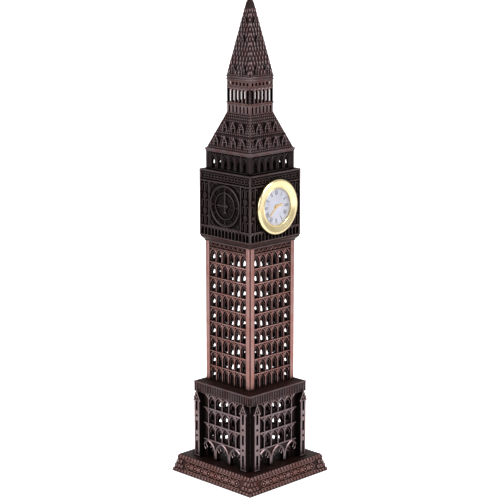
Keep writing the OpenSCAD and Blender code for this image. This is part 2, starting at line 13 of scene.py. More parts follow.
import bpy
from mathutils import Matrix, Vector


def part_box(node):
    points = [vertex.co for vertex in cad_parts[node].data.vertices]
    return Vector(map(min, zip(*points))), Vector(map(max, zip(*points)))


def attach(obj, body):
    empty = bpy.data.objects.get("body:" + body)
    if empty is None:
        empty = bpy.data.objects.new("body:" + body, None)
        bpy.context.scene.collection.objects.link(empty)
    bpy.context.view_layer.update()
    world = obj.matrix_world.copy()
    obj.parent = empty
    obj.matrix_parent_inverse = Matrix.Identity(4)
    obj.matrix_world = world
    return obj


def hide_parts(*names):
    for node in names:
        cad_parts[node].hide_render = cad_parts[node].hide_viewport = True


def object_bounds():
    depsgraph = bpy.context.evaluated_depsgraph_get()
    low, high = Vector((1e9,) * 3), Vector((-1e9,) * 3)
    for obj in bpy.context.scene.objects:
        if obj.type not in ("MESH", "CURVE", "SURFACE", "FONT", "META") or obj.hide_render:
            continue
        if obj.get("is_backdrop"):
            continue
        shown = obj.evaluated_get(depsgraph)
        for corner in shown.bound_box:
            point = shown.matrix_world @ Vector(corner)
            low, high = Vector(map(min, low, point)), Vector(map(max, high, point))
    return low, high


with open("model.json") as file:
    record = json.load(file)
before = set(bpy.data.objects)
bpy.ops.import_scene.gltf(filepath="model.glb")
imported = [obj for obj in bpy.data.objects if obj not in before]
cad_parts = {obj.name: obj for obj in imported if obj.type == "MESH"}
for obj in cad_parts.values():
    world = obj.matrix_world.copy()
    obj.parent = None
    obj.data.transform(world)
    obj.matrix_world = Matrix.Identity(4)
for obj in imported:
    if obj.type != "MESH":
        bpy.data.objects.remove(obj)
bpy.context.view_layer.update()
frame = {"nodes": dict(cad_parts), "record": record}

# %% [markdown]
# ## Camera, table and light
#
# A product of this size is shot from about a metre away with a long lens, a little above it and square on
# to one corner. The table is matt and nearly white, and it glows a little towards the camera alone, as
# paper does under a catalogue photographer's lights, so that it stays clean white. Copper plate shows its
# relief by what it mirrors, so the light is a pale room all round and large soft boxes, nothing hard.

# %% Camera
CAMERA_PLACE = (-0.7475, -0.7448, 0.3857)
CAMERA_AIM = (0.0, 0.0, 0.14857)
CAMERA_LENS = 122.24

camera = bpy.data.objects.new("camera", bpy.data.cameras.new("camera"))
bpy.context.collection.objects.link(camera)
camera.location = CAMERA_PLACE
camera.rotation_euler = (Vector(CAMERA_AIM) - Vector(CAMERA_PLACE)).to_track_quat("-Z", "Y").to_euler()
camera.data.lens = CAMERA_LENS
camera.data.sensor_width = 36
bpy.context.scene.camera = camera
print("camera distance in m:", round((Vector(CAMERA_AIM) - Vector(CAMERA_PLACE)).length, 3))

# %% Table and light
bpy.context.scene.view_settings.view_transform = "Standard"


def clear_selection():
    """Leaves nothing selected, so that the next operator acts on the new piece alone."""
    if bpy.context.mode != "OBJECT":
        bpy.ops.object.mode_set(mode="OBJECT")
    bpy.ops.object.select_all(action="DESELECT")


def soft_box(name, place, aim, size, power):
    """A square studio light that faces a point."""
    light = bpy.data.objects.new(name, bpy.data.lights.new(name, "AREA"))
    bpy.context.collection.objects.link(light)
    light.data.size = size
    light.data.energy = power
    light.location = place
    light.rotation_euler = (Vector(aim) - Vector(place)).to_track_quat("-Z", "Y").to_euler()
    return light


clear_selection()
bpy.ops.mesh.primitive_plane_add(size=30)
table = bpy.context.active_object
table.name = "table"
table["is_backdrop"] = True
table_paint = bpy.data.materials.new("table paint")
table_paint.use_nodes = True
paint_nodes, paint_links = table_paint.node_tree.nodes, table_paint.node_tree.links
paint = paint_nodes["Principled BSDF"]
paint.inputs["Base Color"].default_value = (0.9, 0.9, 0.9, 1)
paint.inputs["Roughness"].default_value = 0.8
paint.inputs["Emission Color"].default_value = (1, 1, 1, 1)
camera_ray = paint_nodes.new("ShaderNodeLightPath").outputs["Is Camera Ray"]
paint_links.new(camera_ray, paint.inputs["Emission Strength"])
table.data.materials.append(table_paint)

ROOM_SEEN = 1.1
ROOM_LIGHT = 0.62
room = bpy.data.worlds.new("room")
room.use_nodes = True
room_nodes, room_links = room.node_tree.nodes, room.node_tree.links
room_nodes["Background"].inputs["Color"].default_value = (1, 1, 1, 1)
seen = room_nodes.new("ShaderNodeMapRange")
seen.inputs["To Min"].default_value = ROOM_LIGHT
seen.inputs["To Max"].default_value = ROOM_SEEN
room_links.new(room_nodes.new("ShaderNodeLightPath").outputs["Is Camera Ray"], seen.inputs["Value"])
room_links.new(seen.outputs["Result"], room_nodes["Background"].inputs["Strength"])
bpy.context.scene.world = room

middle = (0, 0, 0.16)
soft_box("key", (0.25, -1.1, 0.75), middle, 0.7, 11)
soft_box("side", (-1.15, 0.2, 0.55), middle, 0.7, 8)
soft_box("top", (-0.2, -0.2, 1.3), middle, 0.8, 7)

# %% [markdown]
# ## The finish: antique copper
#
# The casting is plated with red copper, dipped in a near-black wash, and rubbed back by hand. The wash
# stays wherever the cloth can't reach, in corners and behind the bars, and the copper comes back on
# everything that stands out. Ambient occlusion measures how closed in a point is. Over a short reach it
# stands for that wash, and over a long reach it also paints shade into deep hollows and the inside of
# the tower. A facing term paints a highlight on faces that look out and on tops, and painted shade on the
# flanks of ribs. One shader group, used by every copper surface, turns these into a mask, breaks the mask
# up with two noises, and gives out colour, roughness and a fine casting grain.

# %% Node helpers


def add_node(tree, kind, **settings):
    """Adds a node and sets its settings and the plain values of its sockets by name."""
    node = tree.nodes.new(kind)
    for key, value in settings.items():
        if hasattr(node, key):
            setattr(node, key, value)
        else:
            node.inputs[key.replace("_", " ")].default_value = value
    return node


def new_group(name, inputs, outputs):
    """An empty shader group with named sockets, and its two end nodes."""
    group = bpy.data.node_groups.new(name, "ShaderNodeTree")
    for label, kind, value in inputs:
        socket = group.interface.new_socket(name=label, in_out="INPUT", socket_type=kind)
        socket.default_value = value
    for label, kind in outputs:
        group.interface.new_socket(name=label, in_out="OUTPUT", socket_type=kind)
    return group, group.nodes.new("NodeGroupInput"), group.nodes.new("NodeGroupOutput")


FLOAT, COLOUR = "NodeSocketFloat", "NodeSocketColor"


def noise(tree, coordinates, scale, detail=3.0):
    """A cloud pattern whose scale is in lumps per metre."""
    node = add_node(tree, "ShaderNodeTexNoise", Scale=scale, Detail=detail)
    tree.links.new(coordinates, node.inputs["Vector"])
    return node.outputs["Fac"]


def remap(tree, value, low, high, out_low=0.0, out_high=1.0):
    """Stretches a value from one range to another, smoothly."""
    node = add_node(tree, "ShaderNodeMapRange", interpolation_type="SMOOTHSTEP", From_Min=low,
                    From_Max=high, To_Min=out_low, To_Max=out_high)
    tree.links.new(value, node.inputs["Value"])
    return node.outputs["Result"]


def calculate(tree, operation, a, b):
    """One sum. Either side may be a number or a socket."""
    node = tree.nodes.new("ShaderNodeMath")
    node.operation = operation
    for socket, value in zip(node.inputs, (a, b)):
        if isinstance(value, (int, float)):
            socket.default_value = value
        else:
            tree.links.new(value, socket)
    return node.outputs["Value"]


def blend_colours(tree, factor, a, b):
    """Mixes two colours by a mask."""
    node = tree.nodes.new("ShaderNodeMix")
    node.data_type = "RGBA"
    tree.links.new(factor, node.inputs["Factor"])
    for socket, value in zip((node.inputs[6], node.inputs[7]), (a, b)):
        if isinstance(value, tuple):
            socket.default_value = value
        else:
            tree.links.new(value, socket)
    return node.outputs[2]


# %% The patina and painted light group
# The first number is the share of bare copper on upward faces, partly rub and partly painted light from
# above. The second is the reach of the wide occlusion, which paints shade into deep hollows and the tower's
# inside as well as marking the wash there.
TOP_RUB_AND_LIGHT = 0.62
WIDE_REACH = 0.014
CLOUDS, SMUDGES, PITS = 160.0, 900.0, 5200.0


def facing_out(tree, place):
    """How squarely a face looks out of its own side of the tower: 1 on a flat front, little on the flank of
    a rib or an inner wall, and about half on a flat top. The side is the larger of |x| and |y|. The mask
    brightens the copper partly where the cloth rubs and partly as a painted highlight, and the flanks get
    painted shade."""
    x_y_z = add_node(tree, "ShaderNodeSeparateXYZ")
    tree.links.new(place, x_y_z.inputs[0])
    x, y = x_y_z.outputs["X"], x_y_z.outputs["Y"]
    on_x = calculate(tree, "GREATER_THAN", calculate(tree, "ABSOLUTE", x, 0),
                     calculate(tree, "ABSOLUTE", y, 0))
    outwards = add_node(tree, "ShaderNodeCombineXYZ")
    tree.links.new(calculate(tree, "MULTIPLY", calculate(tree, "SIGN", x, 0), on_x), outwards.inputs["X"])
    tree.links.new(calculate(tree, "MULTIPLY", calculate(tree, "SIGN", y, 0),
                             calculate(tree, "SUBTRACT", 1.0, on_x)), outwards.inputs["Y"])
    facing = add_node(tree, "ShaderNodeVectorMath", operation="DOT_PRODUCT")
    tree.links.new(outwards.outputs["Vector"], facing.inputs[0])
    normal = tree.nodes.new("ShaderNodeNewGeometry").outputs["Normal"]
    tree.links.new(normal, facing.inputs[1])
    upward = add_node(tree, "ShaderNodeSeparateXYZ")
    tree.links.new(normal, upward.inputs[0])
    on_top = calculate(tree, "MULTIPLY", upward.outputs["Z"], TOP_RUB_AND_LIGHT)
    return remap(tree, calculate(tree, "MAXIMUM", facing.outputs["Value"], on_top), 0.1, 0.85, 0.25, 1.0)


def make_patina_and_light():
    """Copper rubbed back from a dark wash that stays in corners, with painted shade in deep hollows
    and a painted highlight on faces that look out.
    """
    group, start, end = new_group(
        "rubbed patina and painted light",
        [("Copper", COLOUR, (0.5, 0.3, 0.25, 1)), ("Warm", COLOUR, (0.4, 0.16, 0.1, 1)),
         ("Wash and shade", COLOUR, (0.02, 0.01, 0.01, 1)), ("Reach", FLOAT, 0.003), ("Rubbed", FLOAT, 0.5)],
        [("Color", COLOUR), ("Roughness", FLOAT), ("Metallic", FLOAT), ("Height", FLOAT)])
    place = add_node(group, "ShaderNodeTexCoord").outputs["Object"]
    near = add_node(group, "ShaderNodeAmbientOcclusion", samples=8)
    group.links.new(start.outputs["Reach"], near.inputs["Distance"])
    wide = add_node(group, "ShaderNodeAmbientOcclusion", samples=6, Distance=WIDE_REACH)
    clouds = noise(group, place, CLOUDS, 4.0)
    smudges = noise(group, place, SMUDGES, 3.0)
    pits = noise(group, place, PITS, 2.0)
    unevenness = calculate(group, "SUBTRACT", smudges, 0.5)
    # The mask is partly the wash that the cloth can't reach and partly painted light: the long reach paints
    # shade into deep hollows and the tower's inside, and the facing term paints a highlight on faces that
    # look out and on tops.
    open_and_lit = calculate(group, "MULTIPLY", near.outputs["AO"],
                       remap(group, wide.outputs["AO"], 0.05, 0.55, 0.35, 1.0))
    open_and_lit = calculate(group, "MULTIPLY", open_and_lit, facing_out(group, place))
    mottled = calculate(group, "ADD", open_and_lit, calculate(group, "MULTIPLY", unevenness, 0.35))
    limit = calculate(group, "SUBTRACT", 1.0, start.outputs["Rubbed"])
    bare_and_lit = remap(group, calculate(group, "SUBTRACT", mottled, limit), 0.0, 0.55)
    tint = blend_colours(group, remap(group, clouds, 0.35, 0.7), start.outputs["Copper"],
                         start.outputs["Warm"])
    colour = blend_colours(group, bare_and_lit, start.outputs["Wash and shade"], tint)
    group.links.new(colour, end.inputs["Color"])
    rough = calculate(group, "ADD", remap(group, bare_and_lit, 0.0, 1.0, 0.7, 0.36),
                      calculate(group, "MULTIPLY", unevenness, 0.2))
    group.links.new(rough, end.inputs["Roughness"])
    group.links.new(remap(group, bare_and_lit, 0.0, 1.0, 0.8, 0.92), end.inputs["Metallic"])
    height = calculate(group, "ADD", calculate(group, "MULTIPLY", pits, 0.6), smudges)
    group.links.new(height, end.inputs["Height"])
    return group


PATINA_AND_LIGHT = make_patina_and_light()


def shader_of(material):
    """The material's Principled shader."""
    material.use_nodes = True
    return material.node_tree.nodes["Principled BSDF"]


def copper(name, copper_colour, warm_colour, wash_and_shade, reach, rubbed, grain=0.00006):
    """A plated casting finish made from the patina group and a fine bump. The group's wash colour also
    paints the shade in hollows, and its bare copper also paints highlights.
    """
    material = bpy.data.materials.new(name)
    shader, tree = shader_of(material), material.node_tree
    shader.inputs["Specular IOR Level"].default_value = 0.1
    group = add_node(tree, "ShaderNodeGroup", node_tree=PATINA_AND_LIGHT)
    for label, value in (("Copper", copper_colour), ("Warm", warm_colour), ("Wash and shade", wash_and_shade)):
        group.inputs[label].default_value = (*value, 1)
    group.inputs["Reach"].default_value = reach
    group.inputs["Rubbed"].default_value = rubbed
    for label, socket in (("Color", "Base Color"), ("Roughness", "Roughness"), ("Metallic", "Metallic")):
        tree.links.new(group.outputs[label], shader.inputs[socket])
    bump = add_node(tree, "ShaderNodeBump", Strength=0.5, Distance=grain)
    tree.links.new(group.outputs["Height"], bump.inputs["Height"])
    tree.links.new(bump.outputs["Normal"], shader.inputs["Normal"])
    return material


RELIEF_REACH, PLATE_REACH = 0.0024, 0.004

# In each copper finish the third colour is the dark wash, and it is also the colour of the painted shade in
# hollows.
RED_COPPER = copper("red copper", (0.36, 0.205, 0.19), (0.33, 0.15, 0.13),
                    (0.008, 0.003, 0.002), RELIEF_REACH, 0.55)
GREY_COPPER = copper("grey copper", (0.25, 0.19, 0.20), (0.21, 0.14, 0.14),
                     (0.006, 0.003, 0.003), RELIEF_REACH, 0.55)
ROOF_COPPER = copper("roof copper", (0.135, 0.098, 0.102), (0.12, 0.065, 0.066),
                     (0.004, 0.002, 0.002), RELIEF_REACH, 0.55)
BRICK_COPPER = copper("brick copper", (0.165, 0.095, 0.09), (0.13, 0.062, 0.055),
                      (0.005, 0.002, 0.002), RELIEF_REACH, 0.5)
DARK_COPPER = copper("dark copper", (0.092, 0.068, 0.069), (0.075, 0.047, 0.046),
                     (0.003, 0.002, 0.002), RELIEF_REACH, 0.5)
# The dim finish is the darkest relief copper. On the podium's deep corners and the belfry's arcade it is
# painted shade; the cast dials get it as well.
DIM_COPPER = copper("dim copper", (0.055, 0.042, 0.044), (0.045, 0.030, 0.030),
                    (0.002, 0.001, 0.001), RELIEF_REACH, 0.5)
WASHED_RED = copper("washed red copper", (0.045, 0.022, 0.020), (0.045, 0.017, 0.013),
                    (0.006, 0.003, 0.002), PLATE_REACH, 0.5)
WASHED_GREY = copper("washed grey copper", (0.036, 0.024, 0.024), (0.034, 0.018, 0.016),
                     (0.010, 0.006, 0.006), PLATE_REACH, 0.45)
WASHED_DARK = copper("washed dark copper", (0.014, 0.009, 0.009), (0.011, 0.007, 0.007),
                     (0.002, 0.001, 0.001), PLATE_REACH, 0.4)
print("copper finishes:", [m.name for m in bpy.data.materials if "copper" in m.name])

# %% [markdown]
# ## The clock's finishes
#
# The bezel is polished gold plate, with a faint grain. The dial is printed metal, the hands are gilt,
# and the case behind is moulded black plastic in a soft rubber band. One small group gives each of them
# its smudges or grain, with its own size and strength.

# %% Finishes with a fine surface


def make_surface():
    """Broken-up colour, roughness and height for any plain finish."""
    group, start, end = new_group(
        "fine surface",
        [("Colour", COLOUR, (1, 1, 1, 1)), ("Shade", COLOUR, (0.5, 0.5, 0.5, 1)), ("Scale", FLOAT, 800.0),
         ("Roughness", FLOAT, 0.4), ("Spread", FLOAT, 0.1)],
        [("Color", COLOUR), ("Roughness", FLOAT), ("Height", FLOAT)])
    place = add_node(group, "ShaderNodeTexCoord").outputs["Object"]
    fine = add_node(group, "ShaderNodeTexNoise", Detail=4.0)
    group.links.new(place, fine.inputs["Vector"])
    group.links.new(start.outputs["Scale"], fine.inputs["Scale"])
    dust = noise(group, place, 120.0)
    group.links.new(blend_colours(group, remap(group, dust, 0.45, 0.75), start.outputs["Colour"],
                                  start.outputs["Shade"]), end.inputs["Color"])
    offset = calculate(group, "MULTIPLY", calculate(group, "SUBTRACT", fine.outputs["Fac"], 0.5),
                       start.outputs["Spread"])
    group.links.new(calculate(group, "ADD", start.outputs["Roughness"], offset), end.inputs["Roughness"])
    group.links.new(fine.outputs["Fac"], end.inputs["Height"])
    return group


SURFACE = make_surface()


def finish(name, colour, shade, roughness, spread, scale, grain, metallic=0.0):
    """A plain finish broken up by the fine surface group."""
    material = bpy.data.materials.new(name)
    shader, tree = shader_of(material), material.node_tree
    group = add_node(tree, "ShaderNodeGroup", node_tree=SURFACE)
    group.inputs["Colour"].default_value = (*colour, 1)
    group.inputs["Shade"].default_value = (*shade, 1)
    group.inputs["Scale"].default_value = scale
    group.inputs["Roughness"].default_value = roughness
    group.inputs["Spread"].default_value = spread
    tree.links.new(group.outputs["Color"], shader.inputs["Base Color"])
    tree.links.new(group.outputs["Roughness"], shader.inputs["Roughness"])
    bump = add_node(tree, "ShaderNodeBump", Strength=0.4, Distance=grain)
    tree.links.new(group.outputs["Height"], bump.inputs["Height"])
    tree.links.new(bump.outputs["Normal"], shader.inputs["Normal"])
    shader.inputs["Metallic"].default_value = metallic
    return material


GOLD = finish("polished gold", (0.90, 0.76, 0.45), (0.84, 0.67, 0.35), 0.16, 0.08, 2500.0, 0.000004, 1.0)
GILT = finish("gilt", (0.78, 0.52, 0.18), (0.62, 0.38, 0.12), 0.25, 0.1, 3000.0, 0.000005, 1.0)
DIAL_WHITE = finish("dial white", (0.74, 0.73, 0.83), (0.68, 0.67, 0.79), 0.35, 0.1, 4000.0, 0.000003)
DIAL_INK = finish("dial ink", (0.012, 0.012, 0.02), (0.03, 0.03, 0.05), 0.5, 0.15, 6000.0, 0.000003)
BLACK_PLASTIC = finish("black plastic", (0.018, 0.018, 0.02), (0.035, 0.035, 0.038),
                       0.45, 0.2, 3500.0, 0.00002)
RUBBER = finish("band rubber", (0.022, 0.022, 0.022), (0.045, 0.043, 0.04), 0.75, 0.2, 2200.0, 0.00004)
FOAM = finish("pad foam", (0.02, 0.02, 0.02), (0.05, 0.05, 0.05), 0.95, 0.1, 1800.0, 0.0001)
STEEL = finish("screw steel", (0.55, 0.54, 0.52), (0.42, 0.41, 0.39), 0.32, 0.2, 2600.0, 0.00001, 1.0)
NICKEL = finish("nickel", (0.7, 0.69, 0.66), (0.6, 0.59, 0.56), 0.22, 0.12, 3200.0, 0.000005, 1.0)
BRASS = finish("gear brass", (0.8, 0.6, 0.25), (0.68, 0.48, 0.18), 0.27, 0.12, 3000.0, 0.000006, 1.0)

CRYSTAL = finish("crystal", (0.97, 0.98, 1.0), (0.93, 0.95, 0.97), 0.03, 0.02, 400.0, 0.0000005)
shader_of(CRYSTAL).inputs["Transmission Weight"].default_value = 1.0
shader_of(CRYSTAL).inputs["IOR"].default_value = 1.45
print("finishes made:", len(bpy.data.materials))

# %% [markdown]
# ## Dress the castings
#
# The record names a material slot for every casting. Each slot gets one of the finishes above. The roof,
# the spire and the podium were rubbed less than the shaft, so they are greyer copper, and the clock stage
# kept most of its wash. The belfry is painted darker still, as painted shade, because it sits back under
# the eaves.

# %% Give every casting its finish
SLOT_FINISH = {
    "copper_antique": WASHED_GREY, "copper_dark": WASHED_DARK, "pad_foam": FOAM, "screw_steel": STEEL,
    "case_plastic": BLACK_PLASTIC, "band_rubber": RUBBER, "bezel_gold": GOLD, "crystal_clear": CRYSTAL,
    "dial_white": DIAL_WHITE, "nickel": NICKEL, "gear_brass": BRASS, "hand_gold": GILT}
RED_NODES = ("shaft_panel", "shaft_cornice", "plinth", "podium_roof")

for row in frame["record"]["subparts"]:
    casting = frame["nodes"][row["node"]]
    material = SLOT_FINISH[row["material_slot"]]
    if row["node"].startswith(RED_NODES):
        material = WASHED_RED
    if row["node"].startswith("lantern_panel"):
        material = BRICK_COPPER
    casting.data.materials.clear()
    casting.data.materials.append(material)

# %% [markdown]
# ## A pattern maker's helpers
#
# Everything that stands out from the plates is built from five small shapes: a straight round rod, a rod
# bent to an arc, a block with softened edges, a bead and a ring. Each is a Blender primitive, and the arc
# and the block are then worked in edit mode. Sizes are in millimetres here, because that is how such a
# pattern is drawn. All of them are made for the front face, which looks along -Y, and a finished front
# piece is then copied and turned to the other sides.

# %% Small shapes
MM = 0.001
SIDES = ("front", "right", "back", "left")
CORNERS = ((1, 1), (1, -1), (-1, 1), (-1, -1))


def select_only(piece):
    """Selects one piece and makes it the active one."""
    clear_selection()
    piece.select_set(True)
    bpy.context.view_layer.objects.active = piece


def settle(piece):
    """Puts a piece's place, turn and scale into its mesh, so that its object sits at the origin."""
    select_only(piece)
    bpy.ops.object.transform_apply(location=True, rotation=True, scale=True)
    return piece


def edit(piece):
    """Opens one piece in edit mode with all of it selected."""
    select_only(piece)
    bpy.ops.object.mode_set(mode="EDIT")
    bpy.ops.mesh.select_all(action="SELECT")


def close_edit(turn_outwards=False):
    """Leaves edit mode, after turning every face outwards where that is asked for."""
    if turn_outwards:
        bpy.ops.mesh.select_all(action="SELECT")
        bpy.ops.mesh.normals_make_consistent(inside=False)
    bpy.ops.object.mode_set(mode="OBJECT")
    return bpy.context.active_object


def rod(start, end, radius, sides=6):
    """A straight round rod between two points."""
    a, b = Vector(start), Vector(end)
    bpy.ops.mesh.primitive_cylinder_add(
        vertices=sides, radius=radius * MM, depth=(b - a).length * MM, location=(a + b) * MM / 2,
        rotation=(b - a).to_track_quat("Z", "Y").to_euler())
    return bpy.context.active_object


def bow(start, end, bulge, y, radius, sides=6, steps=5):
    """A round rod bent to an arc between two (x, z) points at one depth. The arc swells to the right of
    the way from start to end, or to the left where bulge is negative."""
    (x0, z0), (x1, z1) = start, end
    chord = math.hypot(x1 - x0, z1 - z0)
    swell, turn = abs(bulge), math.copysign(1, bulge)
    arc_radius = (chord * chord / 4 + swell * swell) / (2 * swell)
    angle = 2 * math.asin(min(1, chord / 2 / arc_radius))
    along = Vector(((x1 - x0) / chord, (z1 - z0) / chord))
    left = Vector((-along.y, along.x))
    centre = Vector(((x0 + x1) / 2, (z0 + z1) / 2)) + turn * left * (arc_radius - swell)
    heading = math.atan2(along.x, along.y) + turn * angle / 2
    bpy.ops.mesh.primitive_circle_add(
        vertices=sides, radius=radius * MM, fill_type="NGON", location=Vector((x0, y, z0)) * MM,
        rotation=(0, heading, 0))
    edit(settle(bpy.context.active_object))
    bpy.ops.mesh.spin(steps=steps, angle=turn * angle, center=Vector((centre.x, y, centre.y)) * MM,
                      axis=(0, 1, 0))
    return close_edit(turn_outwards=True)


def block(low, high, soft=0.15, segments=1):
    """A block between two corners, with its edges softened by a bevel."""
    low, high = Vector(low), Vector(high)
    bpy.ops.mesh.primitive_cube_add(size=1, location=(low + high) * MM / 2, scale=(high - low) * MM)
    edit(settle(bpy.context.active_object))
    bpy.ops.mesh.bevel(offset=soft * MM, segments=segments, affect="EDGES")
    return close_edit()


def bead(place, half_sizes, segments=8, rings=5):
    """A ball squashed to three half sizes."""
    bpy.ops.mesh.primitive_uv_sphere_add(
        segments=segments, ring_count=rings, radius=MM, location=Vector(place) * MM, scale=half_sizes)
    return bpy.context.active_object


def ring(place, radius, tube, segments=16, sides=6):
    """A round ring that faces the front."""
    bpy.ops.mesh.primitive_torus_add(
        location=Vector(place) * MM, rotation=(math.pi / 2, 0, 0), major_radius=radius * MM,
        minor_radius=tube * MM, major_segments=segments, minor_segments=sides)
    return bpy.context.active_object


print("small shapes ready: rod, bow, block, bead, ring")

# %% Joining and copying


def join(pieces):
    """Joins pieces into one mesh whose object sits at the origin."""
    clear_selection()
    for piece in pieces:
        piece.select_set(True)
    bpy.context.view_layer.objects.active = pieces[0]
    if len(pieces) > 1:
        bpy.ops.object.join()
    return settle(bpy.context.active_object)


def twin_of(piece):
    """A copy of a piece with its own mesh."""
    twin = piece.copy()
    twin.data = piece.data.copy()
    bpy.context.collection.objects.link(twin)
    return twin


def copies(piece, places):
    """Copies a piece to each (x, z) place along the front and joins the copies. The first one goes."""
    made = []
    for x, z in places:
        twin = twin_of(piece)
        twin.location += Vector((x, 0, z)) * MM
        made.append(twin)
    bpy.data.objects.remove(piece)
    return join(made)


def with_mirror(pieces):
    """Joins pieces and adds their mirror image across the middle of the front."""
    half = join(pieces)
    other = twin_of(half)
    other.scale.x = -1
    edit(settle(other))
    close_edit(turn_outwards=True)
    return join([half, other])


def lay_back(piece, y, z, angle):
    """Leans a flat front piece back by an angle about its foot, and sets the foot at (y, z)."""
    piece.rotation_euler.x = -angle
    piece.location = Vector((0, y, z)) * MM
    return settle(piece)


def mitre(piece):
    """Cuts a front piece off at the tower's corners, where the next side's piece begins."""
    edit(piece)
    for side in (1, -1):
        bpy.ops.mesh.select_all(action="SELECT")
        bpy.ops.mesh.bisect(plane_co=(0, 0, 0), plane_no=(side, 1, 0), use_fill=True, clear_outer=True)
    return close_edit()


def dress(piece, name, material, body="tower"):
    """Names a finished piece, gives it its finish and fastens it to a body."""
    piece.name = piece.data.name = name
    piece.data.materials.clear()
    piece.data.materials.append(material)
    select_only(piece)
    bpy.ops.object.shade_smooth_by_angle(angle=math.radians(40))
    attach(piece, body)
    return piece


def on_sides(piece, name, material, sides=SIDES):
    """Turns copies of a front piece to the sides of the tower, each as its own piece."""
    for side in sides:
        twin = twin_of(piece)
        twin.rotation_euler.z = math.radians(90 * SIDES.index(side))
        dress(settle(twin), f"{name}_{side}", material)
    print(name, "faces on one side:", len(piece.data.polygons))
    bpy.data.objects.remove(piece)


def span(node):
    """A casting's lowest and highest corners in millimetres."""
    low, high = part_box(node)
    return low / MM, high / MM


def centres(count, pitch):
    """Evenly spaced places about the middle."""
    return [(i - (count - 1) / 2) * pitch for i in range(count)]


print("helpers ready")

# %% [markdown]
# ## Plinth
#
# The foot is a battered block with a wall of small bricks round its edges and a band of ornament between
# them. It could be a flat casting with a brick texture, but the bricks catch light on their edges, so each
# is a softened block. They are laid out flat, leaned back to the batter, and cut at the corners, where the
# next side's bricks meet them. Behind them a hollow core, a little smaller, stands for the casting's body.

# %% The plinth's core
PLINTH_INSET = 0.45
PLINTH_TOP_HALF = 33.0
PLINTH_WALL = 2.5
plinth_low, plinth_high = span("plinth")
plinth_run = plinth_high.x - PLINTH_TOP_HALF
plinth_rise = plinth_high.z - plinth_low.z
PLINTH_LEAN = math.atan2(plinth_run, plinth_rise)

bpy.ops.mesh.primitive_cone_add(
    vertices=4, radius1=(plinth_high.x - PLINTH_INSET) * math.sqrt(2) * MM,
    radius2=(PLINTH_TOP_HALF - PLINTH_INSET) * math.sqrt(2) * MM, depth=plinth_rise * MM,
    location=(0, 0, (plinth_low.z + plinth_high.z) / 2 * MM), rotation=(0, 0, math.pi / 4))
plinth = settle(bpy.context.active_object)
edit(plinth)
bpy.ops.mesh.bevel(offset=0.3 * MM, segments=2, affect="EDGES")
bpy.ops.mesh.select_all(action="DESELECT")
close_edit()
for face in plinth.data.polygons:
    face.select = face.normal.z < -0.99
bpy.ops.object.mode_set(mode="EDIT")
bpy.ops.mesh.select_mode(type="FACE")
bpy.ops.mesh.inset(thickness=PLINTH_WALL * MM)
bpy.ops.mesh.extrude_region_move(
    TRANSFORM_OT_translate={"value": (0, 0, (plinth_rise - PLINTH_WALL) * MM)})
bpy.ops.mesh.select_mode(type="VERT")
close_edit()
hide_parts("plinth")
dress(plinth, "plinth_core", WASHED_RED)
print("plinth leans back by degrees:", round(math.degrees(PLINTH_LEAN), 1))

# %% [markdown]
# The bricks are laid flat first, because a row is easy to space there. The top and bottom rows
# run the whole side. The rows between them are only at the ends, where they frame the ornament.

# %% Bricks
BRICK_PITCH = 2.7
BRICK_JOINT = 0.6
BRICK_DEPTH = 1.4
BRICK_ROWS = (plinth_low.z, 3.3, 6.2, 9.2, 12.35)
END_BRICKS_FROM = 27
slope = 1 / math.cos(PLINTH_LEAN)


def brick_row(z0, z1, shift, everywhere):
    """One row of bricks, laid out flat against the plane y = 0."""
    half = (BRICK_PITCH - BRICK_JOINT) / 2
    brick = block((-half, 0, BRICK_JOINT / 2),
                  (half, BRICK_DEPTH, (z1 - z0) * slope - BRICK_JOINT / 2), 0.28, 2)
    places = [(i * BRICK_PITCH + shift, (z0 - plinth_low.z) * slope) for i in range(-14, 15)]
    return copies(brick, [p for p in places if everywhere or abs(p[0]) > END_BRICKS_FROM])


rows = []
for index, (z0, z1) in enumerate(zip(BRICK_ROWS, BRICK_ROWS[1:])):
    outer_row = index in (0, len(BRICK_ROWS) - 2)
    rows.append(brick_row(z0, z1, BRICK_PITCH / 2 * (index % 2), outer_row))
bricks = lay_back(join(rows), -plinth_high.x, plinth_low.z, PLINTH_LEAN)
on_sides(mitre(bricks), "plinth_bricks", BRICK_COPPER)

# %% [markdown]
# Rings in fours make plain quatrefoils, and rods make the lozenges between them. They
# fill the band that a maker would use for a name.

# %% The ornament band
BAND_LOW, BAND_HIGH = 3.5, 9.1
BAND_HALF = 25.5
FLOWER_PITCH = 6.4
band_middle = ((BAND_LOW + BAND_HIGH) / 2 - plinth_low.z) * slope
band_y = 0.25

LOBE = 0.95
flower = join([ring((x, band_y, z), 0.62, 0.26, 10, 6)
               for x, z in ((-LOBE, 0), (LOBE, 0), (0, -LOBE), (0, LOBE))])
points = [(0, -2.15), (2.6, 0), (0, 2.15), (-2.6, 0)]
sides = [rod((ax, band_y, az), (bx, band_y, bz), 0.26)
         for (ax, az), (bx, bz) in zip(points, points[1:] + points[:1])]
lozenge = join(sides + [bead((0, band_y, 0), (0.8, 0.4, 0.7))])
flowers = copies(flower, [(x, band_middle) for x in centres(7, FLOWER_PITCH)])
lozenges = copies(lozenge, [(x, band_middle) for x in centres(8, FLOWER_PITCH)])
rail_heights = [(z - plinth_low.z) * slope for z in (BAND_LOW - 0.1, BAND_HIGH + 0.1)]
rails = [rod((-BAND_HALF, band_y, z), (BAND_HALF, band_y, z), 0.26) for z in rail_heights]
band = lay_back(join([flowers, lozenges] + rails), -plinth_high.x, plinth_low.z, PLINTH_LEAN)
on_sides(band, "plinth_ornament", RED_COPPER)

